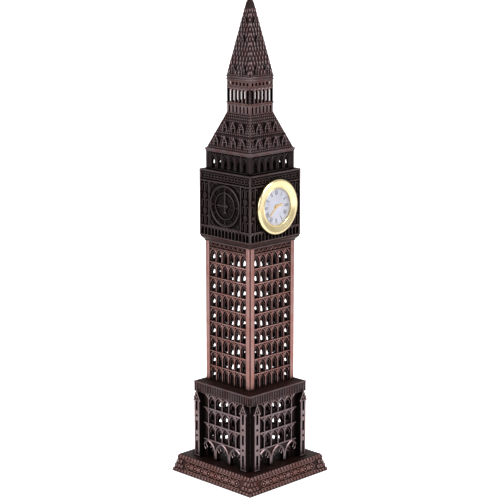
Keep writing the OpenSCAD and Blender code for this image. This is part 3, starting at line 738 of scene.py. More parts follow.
# %% [markdown]
# ## Podium
#
# The first storey is an open screen of three tiers of small arches over three great arches, between pairs
# of buttresses. The plates already have the openings. What they lack is the moulding: a round rib along
# every pier, ribs that spring from it and meet at each arch's point, a smaller arch of tracery inside, and
# a string course under each tier. One arch is modelled and copied along its tier. The casting's windows are
# nearly blind, so a dark plate closes each bay down to one small bell-shaped hole over a high sill. Through
# the holes of two sides in line, daylight shows as a few white sparks.

# %% A pointed arch of ribs


def pointed(half, spring, apex, y, radius, steps=4, fullness=1.0):
    """Two ribs that spring from either side of the middle and meet in a point. Their swell makes the arc
    leave the spring upright, and more fullness makes a rounder arch."""
    rise = apex - spring
    chord = math.hypot(half, rise)
    swell = fullness * chord / 2 * math.tan(math.asin(min(1, half / chord)) / 2)
    return [bow((half, spring), (0, apex), swell, y, radius, 6, steps),
            bow((-half, spring), (0, apex), -swell, y, radius, 6, steps)]


def cusps(half, foot, spring, apex, y, radius):
    """The thin inner arch of a bay on jambs that start at the foot, and a small ring in the head above."""
    jambs = [rod((s * half, y, foot), (s * half, y, spring), radius) for s in (1, -1)]
    eye = ring((0, y, apex + 0.75), 0.5, radius * 0.8, 10, 5)
    return join(pointed(half, spring, apex, y, radius) + jambs + [eye])


def web(half, low, high, y, hole_half, hole_top, thick=0.62, sill=0):
    """The dark plate inside a bay. It closes the head, and the foot up to the sill, and leaves a small
    bell-shaped hole between them."""
    foot = low + sill
    spring = foot + 0.4 * (hole_top - foot)
    side = hole_half + thick
    parts = [block((-half, y - 0.3, hole_top + 0.3), (half, y + 0.5, high), 0.1)]
    if sill:
        parts.append(block((-half, y - 0.3, low), (half, y + 0.5, foot), 0.1))
    for s in (1, -1):
        parts += [rod((s * side, y, low), (s * side, y, spring + 0.2), thick, 8),
                  rod((s * (half - 0.3), y, low), (s * (half - 0.3), y, hole_top + 0.4), 0.75, 6)]
    return join(parts + pointed(side, spring, hole_top + thick, y, thick, 3))


print("arch helpers ready: pointed, cusps, web")

# %% Podium screen
SCREEN_Y = -25.1
SCREEN_HALF = 16.4
SMALL_PITCH = 6.25
PODIUM_STRINGS = (24.8, 35.7, 46.1)
FRIEZE_LOW = 55.3
SPRING_DROP, APEX_DROP = 4.6, 0.35
CUSP_HALF, CUSP_SPRING_DROP, CUSP_APEX_DROP = 1.85, 5.2, 2.3
HOLE_HALF, HOLE_SILL, HOLE_APEX = 1.95, 2.8, 6.7
END_BAY = (12.9, SCREEN_HALF)
podium_low, podium_high = span("podium_panel_front")
small_bays = [(x, 0) for x in centres(4, SMALL_PITCH)]
small_piers = centres(5, SMALL_PITCH)

screen, fine, webs = [], [], []
for low, high in zip(PODIUM_STRINGS, PODIUM_STRINGS[1:] + (FRIEZE_LOW,)):
    spring, apex = high - SPRING_DROP, high - APEX_DROP
    screen.append(copies(join(pointed(SMALL_PITCH / 2, spring, apex, SCREEN_Y, 0.4)), small_bays))
    for s in (1, -1):
        screen.append(bow((s * small_piers[-1], spring), (s * 15.6, apex), -s * 0.95, SCREEN_Y, 0.4))
    screen += [rod((x, SCREEN_Y, low), (x, SCREEN_Y, high), 0.5, 8) for x in small_piers]
    screen += [bead((x, SCREEN_Y, spring + 0.1), (0.8, 0.75, 0.35)) for x in small_piers]
    cusp_spring = high - CUSP_SPRING_DROP
    fine.append(copies(cusps(CUSP_HALF, cusp_spring - 0.4, cusp_spring, high - CUSP_APEX_DROP,
                             SCREEN_Y + 0.35, 0.24), small_bays))
    plate = web(SMALL_PITCH / 2, low, high, SCREEN_Y + 1.3, HOLE_HALF, low + HOLE_APEX, 0.4, HOLE_SILL)
    webs.append(copies(plate, small_bays))
    for left, right in (END_BAY, (-END_BAY[1], -END_BAY[0])):
        webs.append(block((left, SCREEN_Y + 1, low), (right, SCREEN_Y + 1.8, high), 0.1))
for z in PODIUM_STRINGS:
    screen.append(block((-SCREEN_HALF - 0.3, SCREEN_Y - 0.65, z - 0.5),
                        (SCREEN_HALF + 0.3, SCREEN_Y + 0.6, z + 0.5), 0.35, 2))
on_sides(join(screen), "podium_tracery", GREY_COPPER)
on_sides(join(fine), "podium_cusps", ROOF_COPPER)
on_sides(join(webs), "podium_webs", WASHED_GREY)

# %% [markdown]
# The three great arches stand on two plain piers. Their bands are broader and rounder than the
# small arches, and two short fronds hang under each shoulder. A cut at both ends leaves half an arch there.

# %% Great arches
GREAT_PITCH = 2 * SMALL_PITCH
GREAT_HALF = 5.75
GREAT_SPRING = 16.1
GREAT_APEX = 24.0
GREAT_FULLNESS = 1.3
PIER_HALF = 1.25
PIER_RIB = 0.85
FRONDS = (((4.1, 20.7), (2.8, 17.8), 0.5), ((2.3, 22.6), (1.2, 19.4), 0.45))
great = pointed(GREAT_HALF, GREAT_SPRING - 1, GREAT_APEX, SCREEN_Y, PIER_RIB, 7, GREAT_FULLNESS)
for s in (1, -1):
    for (x0, z0), (x1, z1), swell in FRONDS:
        great.append(bow((s * x0, z0), (s * x1, z1), -s * swell, SCREEN_Y + 0.15, 0.42))
arcade = [copies(join(great), [(x, 0) for x in centres(3, GREAT_PITCH)])]
for x in centres(2, GREAT_PITCH):
    arcade.append(block((x - PIER_HALF, SCREEN_Y - 0.4, podium_low.z),
                        (x + PIER_HALF, SCREEN_Y + 0.6, GREAT_SPRING), 0.35, 2))
    arcade += [rod((x + s * 0.8, SCREEN_Y, GREAT_SPRING - 0.5), (x + s * 0.7, SCREEN_Y, GREAT_SPRING + 3.2),
                   0.55, 8) for s in (1, -1)]
arches = join(arcade)
edit(arches)
for s in (1, -1):
    bpy.ops.mesh.select_all(action="SELECT")
    bpy.ops.mesh.bisect(plane_co=(s * SCREEN_HALF * MM, 0, 0), plane_no=(s, 0, 0), use_fill=True,
                        clear_outer=True)
close_edit()
on_sides(arches, "podium_great_arches", GREY_COPPER)

# %% [markdown]
# A buttress is a flat strip with three long slots, crossed by bars, under a steep gable with beads
# at its corners. The CAD plate has the slots, so the moulding is two strips and the panels between slots.

# %% Buttresses
BUTTRESS_X = 21.2
BUTTRESS_HALF = 2.4
BUTTRESS_FOOT_TOP = 13.2
BUTTRESS_SLOTS = (16.2, 29.7, 43.2)
SLOT_TALL, SLOT_HALF = 6.4, 0.85
CROSS_HALF = 0.65
GABLE_LOW, GABLE_TIP = 50, 55
buttress_y = podium_low.y
edge = buttress_y + 0.1

foot_half = BUTTRESS_HALF + 0.2
parts = [block((-foot_half, buttress_y - 0.3, podium_low.z), (foot_half, buttress_y + 3, BUTTRESS_FOOT_TOP),
               0.3, 2)]
for s in (1, -1):
    strip_in, strip_out = sorted((s * SLOT_HALF, s * BUTTRESS_HALF))
    parts += [block((strip_in, buttress_y - 0.3, 13), (strip_out, buttress_y + 0.6, GABLE_LOW), 0.28, 2),
              rod((s * foot_half, edge, GABLE_LOW - 0.3), (0, edge, GABLE_TIP + 0.6), 0.5, 8),
              bead((s * (BUTTRESS_HALF + 0.25), edge, GABLE_LOW), (0.75, 0.7, 0.75))]
parts += [bead((0, edge, GABLE_TIP + 0.8), (0.55, 0.55, 0.95)),
          rod((-BUTTRESS_HALF, edge, GABLE_LOW), (BUTTRESS_HALF, edge, GABLE_LOW), 0.36),
          bead((0, edge, GABLE_LOW + 1.9), (0.6, 0.5, 0.9))]
panel_half = SLOT_HALF + 0.2
for slot, following in zip(BUTTRESS_SLOTS, BUTTRESS_SLOTS[1:]):
    middle = (slot + SLOT_TALL + following) / 2
    for low, high in ((slot + SLOT_TALL, middle - CROSS_HALF), (middle + CROSS_HALF, following)):
        parts.append(block((-panel_half, buttress_y - 0.22, low), (panel_half, buttress_y + 0.6, high),
                           0.22, 2))
buttresses = copies(join(parts), [(-BUTTRESS_X, 0), (BUTTRESS_X, 0)])
on_sides(buttresses, "buttress_mouldings", GREY_COPPER)

# %% [markdown]
# Between two buttresses the corner is a rounded bar, painted dim as painted shade, because it sits deep.

# %% Podium corners
CORNER_AT, CORNER_RADIUS = 23.0, 1.15
corner_bars = [rod((sx * CORNER_AT, sy * CORNER_AT, podium_low.z),
                   (sx * CORNER_AT, sy * CORNER_AT, GABLE_TIP), CORNER_RADIUS, 12) for sx, sy in CORNERS]
dress(join(corner_bars), "podium_corners", DIM_COPPER)

# %% [markdown]
# The frieze is fluted with close upright rods between two softened bands.

# %% Podium cornice
podium_top = podium_high.z
front = -podium_high.x
PAST_CORNER = 27
cornice = [block((-PAST_CORNER, front - 0.25, podium_top - 0.9),
                 (PAST_CORNER, front + 1.5, podium_top + 0.15), 0.45, 3),
           block((-PAST_CORNER, front - 0.12, FRIEZE_LOW - 0.1),
                 (PAST_CORNER, front + 1.5, FRIEZE_LOW + 0.5), 0.25, 2)]
FLUTES, FLUTE_PITCH = 31, 1.55
for x in centres(FLUTES, FLUTE_PITCH):
    cornice.append(rod((x, front + 0.05, FRIEZE_LOW + 0.4), (x, front + 0.05, podium_top - 0.9), 0.36))
on_sides(mitre(join(cornice)), "podium_cornice", ROOF_COPPER)

# %% [markdown]
# ## Shaft
#
# Nine tiers of six small arches climb each side between smooth corner posts. Round ribs run the full
# height, and at every tier they fork into pointed arches, so a tier reads as a row of letters Y. Inside
# each opening hangs a smaller arch of tracery, and behind it a dark plate leaves only a small bell-shaped
# hole. All the tiers are one bay copied over and over. The posts are rounded strips with a dark seam at the
# corner, where two castings were soldered.

# %% Shaft tracery
SHAFT_BAY = 5.45
FIRST_STRING = 73.3
STRING_PITCH = 9.78
SHAFT_TIERS = 9
SHAFT_FRIEZE = 151.1
POST_IN, POST_OUT = 16.5, 19.74
shaft_low, shaft_high = span("shaft_panel_front")
shaft_y = shaft_low.y
rib_y = shaft_y + 0.62
string_heights = [FIRST_STRING + k * STRING_PITCH for k in range(SHAFT_TIERS - 1)]
tier_bottoms = [shaft_low.z] + string_heights
tier_tops = string_heights + [SHAFT_FRIEZE]

HOLE_TOP = 5.2
bays = [(x, 0) for x in centres(6, SHAFT_BAY)]
tracery, fine, webs = [], [], []
for low, high in zip(tier_bottoms, tier_tops):
    tracery.append(copies(join(pointed(SHAFT_BAY / 2, high - 4.6, high - 0.45, rib_y, 0.3)), bays))
    fine.append(copies(cusps(1.6, low, high - 5, high - 2.2, rib_y + 0.3, 0.2), bays))
    webs.append(copies(web(SHAFT_BAY / 2, low, high, rib_y + 1.1, 1.4, low + HOLE_TOP, 0.45), bays))
for x in centres(7, SHAFT_BAY):
    tracery.append(rod((x, rib_y - 0.08, shaft_low.z), (x, rib_y - 0.08, SHAFT_FRIEZE), 0.36, 8))
for z in string_heights:
    tracery.append(block((-POST_IN, shaft_y - 0.15, z - 0.36), (POST_IN, shaft_y + 0.9, z + 0.36), 0.28, 2))
on_sides(join(tracery), "shaft_tracery", RED_COPPER)
on_sides(join(fine), "shaft_cusps", ROOF_COPPER)
on_sides(join(webs), "shaft_webs", WASHED_RED)

# %% [markdown]
# One softened strip and its mirror image make both posts of a side.

# %% Corner posts
post = block((POST_IN - 0.05, shaft_y - 0.42, shaft_low.z), (POST_OUT, shaft_y + 0.8, shaft_high.z), 0.3, 3)
on_sides(with_mirror([post]), "shaft_posts", RED_COPPER)

# %% [markdown]
# One scroll of a ring, two arcs and three beads is copied along the band.

# %% Scroll frieze
SCROLL_PITCH = 4.05
scroll_y = shaft_y + 0.35
middle_z = (SHAFT_FRIEZE + shaft_high.z) / 2
scroll = [ring((0, scroll_y, 0.15), 0.95, 0.27, 14, 6), bead((0, scroll_y, 0.15), (0.4, 0.4, 0.4)),
          bow((0.8, -0.9), (3.2, 0.9), 0.55, scroll_y, 0.27),
          bow((-0.7, 1.0), (0.9, -1.2), 0.75, scroll_y, 0.24),
          bead((2.05, scroll_y, 1.15), (0.55, 0.35, 0.33)), bead((1.9, scroll_y, -1.15), (0.6, 0.35, 0.3))]
scrolls = copies(join(scroll), [(x - 0.8, middle_z) for x in centres(8, SCROLL_PITCH)])
edges = [block((-POST_IN, shaft_y - 0.2, low), (POST_IN, shaft_y + 0.9, high), 0.3, 2)
         for low, high in ((SHAFT_FRIEZE - 0.5, SHAFT_FRIEZE + 0.35), (shaft_high.z - 0.7, shaft_high.z))]
on_sides(join([scrolls] + edges), "shaft_frieze", BRICK_COPPER)

# %% [markdown]
# ## Clock stage
#
# Above the shaft the tower steps out for the clocks. Its castings are nearly solid and kept most of their
# wash, so here the relief is fine and close: a band of little arches, upright slots with rosettes between
# them, a frieze of linked rings, and on three sides a dial that is only cast, with its hands at nine. The
# front has the real clock, and its mouldings stop short of the bezel.

# %% Rims, slots and frieze
DIAL_Z = 180.0
RAIL_LOW, RAIL_HIGH = 165.5, 194.4
BAND_SLOT_LOW, BAND_SLOT_TOP = 159.7, 165.0
BAND_PITCH = 3.07
SLOT_XS = (16.2, 19.7)
SLOT_ROWS = ((166.6, 172.2), (177.4, 182.3), (187.5, 192.7))
stage_low, stage_high = span("clock_panel_back")
stage_top = span("stage_deck")[1].z
stage_y = -stage_high.x
face = stage_y - 0.05

PAST_STAGE = 24
rims = []
for z, half in ((stage_low.z + 0.35, 0.42), (RAIL_LOW, 0.4), (RAIL_HIGH, 0.38), (stage_top - 0.35, 0.5)):
    rims.append(block((-PAST_STAGE, stage_y - 0.3, z - half), (PAST_STAGE, stage_y + 1, z + half), 0.26, 2))
for left, right in ((stage_high.x - 0.8, PAST_STAGE), (-PAST_STAGE, 0.8 - stage_high.x)):
    rims.append(block((left, stage_y - 0.3, stage_low.z), (right, stage_y + 1, stage_top), 0.26, 2))
on_sides(mitre(join(rims)), "stage_rims", DARK_COPPER)
lip = block((-PAST_STAGE, shaft_y - 0.55, shaft_high.z - 0.25),
            (PAST_STAGE, shaft_y + 1, shaft_high.z + 0.35), 0.25, 2)
on_sides(mitre(lip), "shaft_lip", ROOF_COPPER)

arch = join(pointed(BAND_PITCH / 2, BAND_SLOT_TOP - 1.9, BAND_SLOT_TOP + 0.1, face, 0.24, 3)
            + [rod((BAND_PITCH / 2, face, BAND_SLOT_LOW - 0.2),
                   (BAND_PITCH / 2, face, BAND_SLOT_TOP - 1.8), 0.3)])
band_arches = copies(arch, [(x, 0) for x in centres(14, BAND_PITCH)])
linked = join([ring((0, face + 0.1, 0), 1.75, 0.3, 16, 6), bead((0, face + 0.2, 0), (0.5, 0.45, 0.6))])
links = copies(linked, [(x, (RAIL_HIGH + stage_top) / 2 - 0.2) for x in centres(14, 2.95)])
rope = copies(bead((0, face - 0.05, RAIL_LOW + 0.75), (0.42, 0.32, 0.36), 6, 4),
              [(x, 0) for x in centres(19, 1.45)])
on_sides(join([band_arches, links]), "stage_friezes", DARK_COPPER)
on_sides(rope, "stage_rope", DARK_COPPER, SIDES[1:])

# %% [markdown]
# Beside each dial stand two columns of slots, edged with thin rods under a small arc, with a
# rosette of six beads between the tiers. The front has less room, so its rosettes are smaller.

# %% Slots and rosettes
SLOT_EDGE = 0.92
PETALS = 6


def slot_columns(rosette_x, rosette_size):
    """The moulded edges of the slots on one side of the dial, with a rosette between the tiers."""
    middle = sum(SLOT_XS) / 2
    edge_y = face + 0.4
    parts = []
    for low, high in SLOT_ROWS:
        for x in SLOT_XS:
            parts += [rod((x + s * SLOT_EDGE, edge_y, low), (x + s * SLOT_EDGE, edge_y, high - 0.8), 0.22)
                      for s in (1, -1)]
            parts.append(bow((x + SLOT_EDGE, high - 0.9), (x - SLOT_EDGE, high - 0.9), 0.75, edge_y, 0.22))
    petal_reach = 0.62 * rosette_size
    for low, high in zip([row[1] for row in SLOT_ROWS], [row[0] for row in SLOT_ROWS][1:]):
        z = (low + high) / 2
        parts.append(ring((rosette_x, face + 0.25, z), rosette_size, 0.24, 14, 6))
        for k in range(PETALS):
            turn = math.radians(360 / PETALS * k)
            parts.append(bead((rosette_x + petal_reach * math.cos(turn), face + 0.25,
                               z + petal_reach * math.sin(turn)), (0.34, 0.35, 0.34), 6, 4))
    parts.append(rod((middle, face + 0.1, RAIL_LOW), (middle, face + 0.1, RAIL_HIGH), 0.26))
    return parts


on_sides(with_mirror(slot_columns(17.95, 1.5)), "stage_slots", DARK_COPPER, SIDES[1:])
on_sides(with_mirror(slot_columns(19.3, 0.95)), "stage_slots", DARK_COPPER, SIDES[:1])

# %% [markdown]
# The blind dials are rings, bars and beads in very low relief. They get the dim finish, darker than the
# rest of the stage's relief.

# %% Cast dials
FRAME_X = 14.1
HOUR_ANGLE = 30
MARK_IN, MARK_OUT = 9.5, 11.6
dial_y = face + 0.25


def polar(radius, degrees):
    """An (x, z) point on the dial, clockwise from twelve."""
    return radius * math.sin(math.radians(degrees)), DIAL_Z + radius * math.cos(math.radians(degrees))


cast = [ring((0, dial_y, DIAL_Z), 12.75, 0.55, 72, 8), ring((0, dial_y, DIAL_Z), 11.9, 0.25, 64, 6),
        ring((0, dial_y, DIAL_Z), 8.4, 0.36, 56, 8), ring((0, dial_y, DIAL_Z), 2.1, 0.3, 24, 6)]
for angle in range(0, 360, HOUR_ANGLE):
    for lean_in, lean_out in ((-4, 4), (4, -4), (0, 0)) if angle % 90 == 0 else ((-3, -3), (3, 3)):
        (ax, az), (bx, bz) = polar(MARK_IN, angle + lean_in), polar(MARK_OUT, angle + lean_out)
        cast.append(rod((ax, dial_y + 0.1, az), (bx, dial_y + 0.1, bz), 0.24))
    ax, az = polar(10.5, angle + HOUR_ANGLE / 2)
    cast.append(bead((ax, dial_y + 0.1, az), (0.34, 0.34, 0.34), 6, 4))
for angle in range(0, 360, HOUR_ANGLE):
    (ax, az), (bx, bz) = polar(3.4, angle + HOUR_ANGLE / 2), polar(7.6, angle + HOUR_ANGLE / 2)
    cast.append(rod((ax, dial_y + 0.35, az), (bx, dial_y + 0.35, bz), 0.17))
cast += [block((-0.55, dial_y - 0.35, DIAL_Z - 3.6), (0.55, dial_y + 0.3, DIAL_Z + 9.2), 0.22, 2),
         block((-7.2, dial_y - 0.3, DIAL_Z - 0.5), (2.6, dial_y + 0.3, DIAL_Z + 0.5), 0.2, 2),
         bead((0, dial_y - 0.1, DIAL_Z), (1.15, 0.5, 1.15), 12, 6),
         bead((0, dial_y - 0.1, DIAL_Z - 4), (1.2, 0.4, 0.9), 10, 6)]
LEAF_OUT = 13.2
leaves = []
for sx, sz in CORNERS:
    cx, cz = sx * 11.6, DIAL_Z + sz * 11.8
    leaves += [bow((sx * LEAF_OUT, cz - sz * 5), (cx, cz), sx * sz * 0.8, dial_y, 0.26),
               bow((cx - sx * 5, DIAL_Z + sz * LEAF_OUT), (cx, cz), -sx * sz * 0.8, dial_y, 0.26),
               ring((cx, dial_y, cz), 1.05, 0.26, 12, 6), bead((cx, dial_y, cz), (0.4, 0.4, 0.4)),
               bead((sx * 13, dial_y, DIAL_Z + sz * LEAF_OUT), (0.55, 0.45, 0.55))]
frames = [block((x - 0.5, stage_y - 0.28, RAIL_LOW), (x + 0.5, stage_y + 1, RAIL_HIGH), 0.25, 2)
          for x in (FRAME_X, -FRAME_X)]
on_sides(join(cast + leaves + frames), "cast_dial", DIM_COPPER, SIDES[1:])

# %% [markdown]
# ## Belfry
#
# A short open storey with a cluster of three thin ribs on every pier and steep arches between. It sits back
# from the clock stage under the eaves, so its finishes are painted the darkest of the tower, as painted
# shade. The fascia above it is a plain softened moulding that takes the light.

# %% Belfry arcade
BELFRY_BAY = 5.55
BELFRY_SILL = 202.6
BELFRY_FASCIA = 212.7
belfry_low, belfry_high = span("belfry_panel_front")
belfry_y = belfry_low.y
arcade_y = belfry_y + 0.5

belfry_bays = [(x, 0) for x in centres(6, BELFRY_BAY)]
inner_arch = cusps(1.6, BELFRY_SILL, 206.4, 209.6, arcade_y + 0.3, 0.22)
arcade = [copies(join(pointed(BELFRY_BAY / 2, 207.2, 211.6, arcade_y, 0.3) + [inner_arch]), belfry_bays)]
for x in centres(7, BELFRY_BAY):
    for side_x, depth, radius in ((-0.62, 0.1, 0.26), (0, -0.15, 0.36), (0.62, 0.1, 0.26)):
        arcade.append(rod((x + side_x, arcade_y + depth, belfry_low.z),
                          (x + side_x, arcade_y + depth, BELFRY_FASCIA), radius))
for x in (17.6, 18.5, 19.2):
    for s in (1, -1):
        arcade.append(rod((s * x, belfry_y, belfry_low.z), (s * x, belfry_y, BELFRY_FASCIA), 0.34))
arcade.append(block((-18.8, belfry_y - 0.1, belfry_low.z), (18.8, belfry_y + 1, belfry_low.z + 1), 0.3, 2))
# The arcade's dim finish is painted shade.
on_sides(join(arcade), "belfry_arcade", DIM_COPPER)

plate = web(BELFRY_BAY / 2, BELFRY_SILL, BELFRY_FASCIA, arcade_y + 1.2, 0.95, 208.4, 0.55)
parapet = block((-BELFRY_BAY / 2, arcade_y + 0.8, BELFRY_SILL - 0.4),
                (BELFRY_BAY / 2, arcade_y + 1.6, BELFRY_SILL + 1.7), 0.15)
# The webs' darkest finish is painted shade as well.
on_sides(copies(join([plate, parapet]), belfry_bays), "belfry_webs", WASHED_DARK)

PAST_BELFRY = 21
fascia_step = BELFRY_FASCIA + 0.8
fascia = [block((-PAST_BELFRY, belfry_y - 0.35, BELFRY_FASCIA), (PAST_BELFRY, belfry_y + 1, fascia_step),
                0.3, 2),
          block((-PAST_BELFRY, belfry_y - 0.55, fascia_step),
                (PAST_BELFRY, belfry_y + 1, belfry_high.z + 0.25), 0.4, 2)]
on_sides(mitre(join(fascia)), "belfry_fascia", ROOF_COPPER)

# %% [markdown]
# ## Lower roof
#
# The roof leans in above the eaves. Rows of small round scales run along it, and two rows of dormers with
# steep gables stand between them. A scale is a squashed bead, and a dormer's moulding is a letter A made of
# rods. They are set straight on the slope, whose place at any height follows from the roof's two edges.

# %% Scales and dormers on the roof
ROOF_FOOT_HALF, ROOF_TOP_HALF = 19.1, 10.2
ROOF_LEDGE = 223.4
LOW_DORMERS, LOW_SILL = (-11.7, -3.9, 3.9, 11.7), 216.6
HIGH_DORMERS, HIGH_SILL = (-7.4, 0, 7.4), 225.4
DORMER_HALF, DORMER_WALL, DORMER_PEAK = 1.8, 2.9, 5.9
BEAD_ROWS = (215.6, 222.4, 224.6, 232.3, 234.0, 235.7)
TILE_PITCH, TILE_ROW = 1.4, 1.45
roof_low, roof_high = span("lower_roof_front")
roof_lean = math.atan2(ROOF_FOOT_HALF - ROOF_TOP_HALF, roof_high.z - roof_low.z)


def roof_half(z):
    """Half the roof's width at a height."""
    return ROOF_FOOT_HALF - (z - roof_low.z) * math.tan(roof_lean)


def scale_row(z, pitch, size, half_at, margin=0.7, shift=0.0):
    """A row of round scales along a sloping face, as wide as the face is at that height."""
    half = half_at(z)
    count = int((2 * (half - margin)) // pitch) + 1
    return [bead((x + shift, -half - 0.05, z), size, 6, 5) for x in centres(count, pitch)
            if abs(x + shift) < half - 0.4]


def dormer(x, z, half, wall, peak, y, radius):
    """The mouldings of one gabled dormer."""
    parts = [rod((foot, y, z + wall - 0.2), (x, y, z + peak + 0.2), radius)
             for foot in (x + half + 0.15, x - half - 0.15)]
    parts += [rod((jamb, y, z), (jamb, y, z + wall), radius * 0.8)
              for jamb in (x + half - 0.15, x - half + 0.15)]
    parts += [rod((x - half, y, z + wall), (x + half, y, z + wall), radius * 0.7),
              bead((x, y, z + peak + 0.35), (radius * 1.3, radius * 1.3, radius * 1.8), 6, 5)]
    return parts


roof = []
for z in BEAD_ROWS:
    size = (0.62, 0.42, 0.66) if z > 230 else (0.68, 0.5, 0.72)
    roof += scale_row(z, 1.85, size, roof_half)
for low, dormers in ((217.2, LOW_DORMERS), (226.1, HIGH_DORMERS)):
    for row in range(4):
        shift = TILE_PITCH / 2 * (row % 2)
        for piece in scale_row(low + row * TILE_ROW, TILE_PITCH, (0.5, 0.28, 0.8), roof_half, 1.0, shift):
            if min(abs(piece.location.x / MM - x) for x in dormers) > DORMER_HALF + 0.35:
                roof.append(piece)
            else:
                bpy.data.objects.remove(piece)
on_sides(join(roof), "roof_scales", ROOF_COPPER)

gables = []
for xs, sill in ((LOW_DORMERS, LOW_SILL), (HIGH_DORMERS, HIGH_SILL)):
    for x in xs:
        gables += dormer(x, sill, DORMER_HALF, DORMER_WALL, DORMER_PEAK, -roof_half(sill) - 0.15, 0.3)
ledge_half = roof_half(ROOF_LEDGE) + 0.3
gables.append(block((-ledge_half, -ledge_half, ROOF_LEDGE - 0.25),
                    (ledge_half, 2 - ledge_half, ROOF_LEDGE + 0.25), 0.2, 2))
on_sides(join(gables), "roof_dormers", GREY_COPPER)

hips = []
for sx, sy in CORNERS:
    hips.append(rod((sx * ROOF_FOOT_HALF, sy * ROOF_FOOT_HALF, roof_low.z),
                    (sx * ROOF_TOP_HALF, sy * ROOF_TOP_HALF, roof_high.z), 0.3, 8))
dress(join(hips), "roof_hips", DARK_COPPER)
print("roof leans back by degrees:", round(math.degrees(roof_lean), 1))

# %% [markdown]
# ## Lantern
#
# A small square storey of tall slots between thin ribs, over a row of blind arches. A row of windows runs
# under the cornice.

# %% Lantern ribs
LANTERN_PITCH = 3.2
LANTERN_STRING = 243.4
LANTERN_SLOT_TOP = 252.3
WINDOW_EDGES = ((254.3, 254.6), (256.6, 256.9))
lantern_low = span("lantern_panel_right")[0]
lantern_y = -10.15
ribs_y = lantern_y + 0.1

bays = [(x, 0) for x in centres(6, LANTERN_PITCH)]
heads = pointed(LANTERN_PITCH / 2, LANTERN_SLOT_TOP - 1.6, LANTERN_SLOT_TOP + 0.7, ribs_y, 0.24, 3)
ribs = [copies(join(heads), bays),
        copies(cusps(0.95, 237.6, 240.9, 242.4, ribs_y, 0.22), bays)]
for x in centres(7, LANTERN_PITCH):
    ribs += [rod((x, ribs_y, LANTERN_STRING), (x, ribs_y, LANTERN_SLOT_TOP - 0.4), 0.3, 8),
             rod((x, ribs_y, lantern_low.z), (x, ribs_y, LANTERN_STRING), 0.26)]
for x, _ in bays:
    for low, high in WINDOW_EDGES:
        ribs.append(block((x - 0.9, ribs_y - 0.15, low), (x + 0.9, ribs_y + 0.5, high), 0.1))
on_sides(join(ribs), "lantern_ribs", GREY_COPPER)
jamb_y = ribs_y + 0.75
jambs = [rod((x, jamb_y, LANTERN_STRING), (x, jamb_y, LANTERN_SLOT_TOP), 0.42, 8)
         for pier in centres(7, LANTERN_PITCH) for x in (pier + 0.72, pier - 0.72)]
on_sides(join(jambs), "lantern_jambs", WASHED_DARK)

strings = [block((-12, lantern_y - 0.3, z - half), (12, lantern_y + 0.8, z + half), 0.2, 2)
           for z, half in ((LANTERN_STRING, 0.4), (LANTERN_SLOT_TOP + 1.2, 0.3),
                           (lantern_low.z + 0.35, 0.25))]
on_sides(mitre(join(strings)), "lantern_strings", ROOF_COPPER)

cornice_low, cornice_high = span("lantern_cornice")
LIP, NECK = 10.6, 10.25
steps = ((LIP, cornice_low.z, cornice_low.z + 0.8), (NECK, cornice_low.z + 0.5, cornice_high.z - 0.5),
         (LIP, cornice_high.z - 0.8, cornice_high.z))
cornice = join([block((-half, -half, low), (half, half, high), 0.2, 2) for half, low, high in steps])
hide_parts("lantern_cornice")
dress(cornice, "lantern_cornice_cast", ROOF_COPPER)

# %% [markdown]
# ## Spire
#
# The spire is covered with long scales, each row shifted by half a scale, that shrink towards the tip.
# Small gabled dormers break through them. The scales are modelled flat as long beads and laid back to the
# spire's slope.

# %% Spire scales
SPIRE_FOOT_HALF, SPIRE_TOP_HALF = 10.3, 1.75
SPIRE_ROW = 2.9
SPIRE_ROWS = 14
spire_low, spire_high = span("spire_panel_front")
spire_lean = math.atan2(SPIRE_FOOT_HALF - SPIRE_TOP_HALF, spire_high.z - spire_low.z)
FIRST_ROW = spire_low.z + 2.3
SPIRE_DORMERS = ((-4.3, spire_low.z + 1.6, 1.3), (4.3, spire_low.z + 1.6, 1.3), (0, 281, 1.1),
                 (0, 293, 0.75))


def spire_half(z):
    """Half the spire's width at a height."""
    return SPIRE_FOOT_HALF - (z - spire_low.z) * math.tan(spire_lean)


scales = []
for row in range(SPIRE_ROWS):
    z = FIRST_ROW + row * SPIRE_ROW
    half = spire_half(z)
    width = 2.75 - 0.7 * row / SPIRE_ROWS
    count = max(1, round(2 * half / width) - (row % 2))
    for x in centres(count, 2 * half / max(count + row % 2, 1)):
        if min(math.hypot(x - dx, (z - dz - 1.5) / 1.4) for dx, dz, _ in SPIRE_DORMERS) < 1.5:
            continue
        scale = bead((x, -half, z), (width * 0.31, 0.5, SPIRE_ROW * 0.62), 8, 6)
        scale.rotation_euler.x = -spire_lean
        scales.append(scale)
scales += scale_row(spire_low.z + 0.7, 1.5, (0.55, 0.42, 0.5), spire_half, 0.6)
on_sides(join(scales), "spire_scales", ROOF_COPPER)

gables = []
for x, z, half in SPIRE_DORMERS:
    gables += dormer(x, z, half, half * 1.8, half * 3.6, -spire_half(z) - 0.55, 0.24)
on_sides(join(gables), "spire_dormers", GREY_COPPER)

corner_scales = []
for row in range(SPIRE_ROWS):
    z = FIRST_ROW + row * SPIRE_ROW
    half = spire_half(z) - 0.3
    corner_scales += [bead((sx * half, sy * half, z), (0.5, 0.5, SPIRE_ROW * 0.55), 8, 6)
                      for sx, sy in CORNERS]
dress(join(corner_scales), "spire_corners", ROOF_COPPER)

# %% [markdown]
# ## The clock
#
# The clock is a bought movement with a gold bezel, pushed into the casting. Its castings carry over from
# the drawing package. The bezel is made again here with a rounded crest and a stepped throat, because its
# edges are what mirror the lights. A turned shape starts as a circle of edges that is extruded and scaled
# from one ring of its profile to the next. The dial gets its hours as thin raised ink, and the hands get
# a cap.

# %% A helper for turned shapes


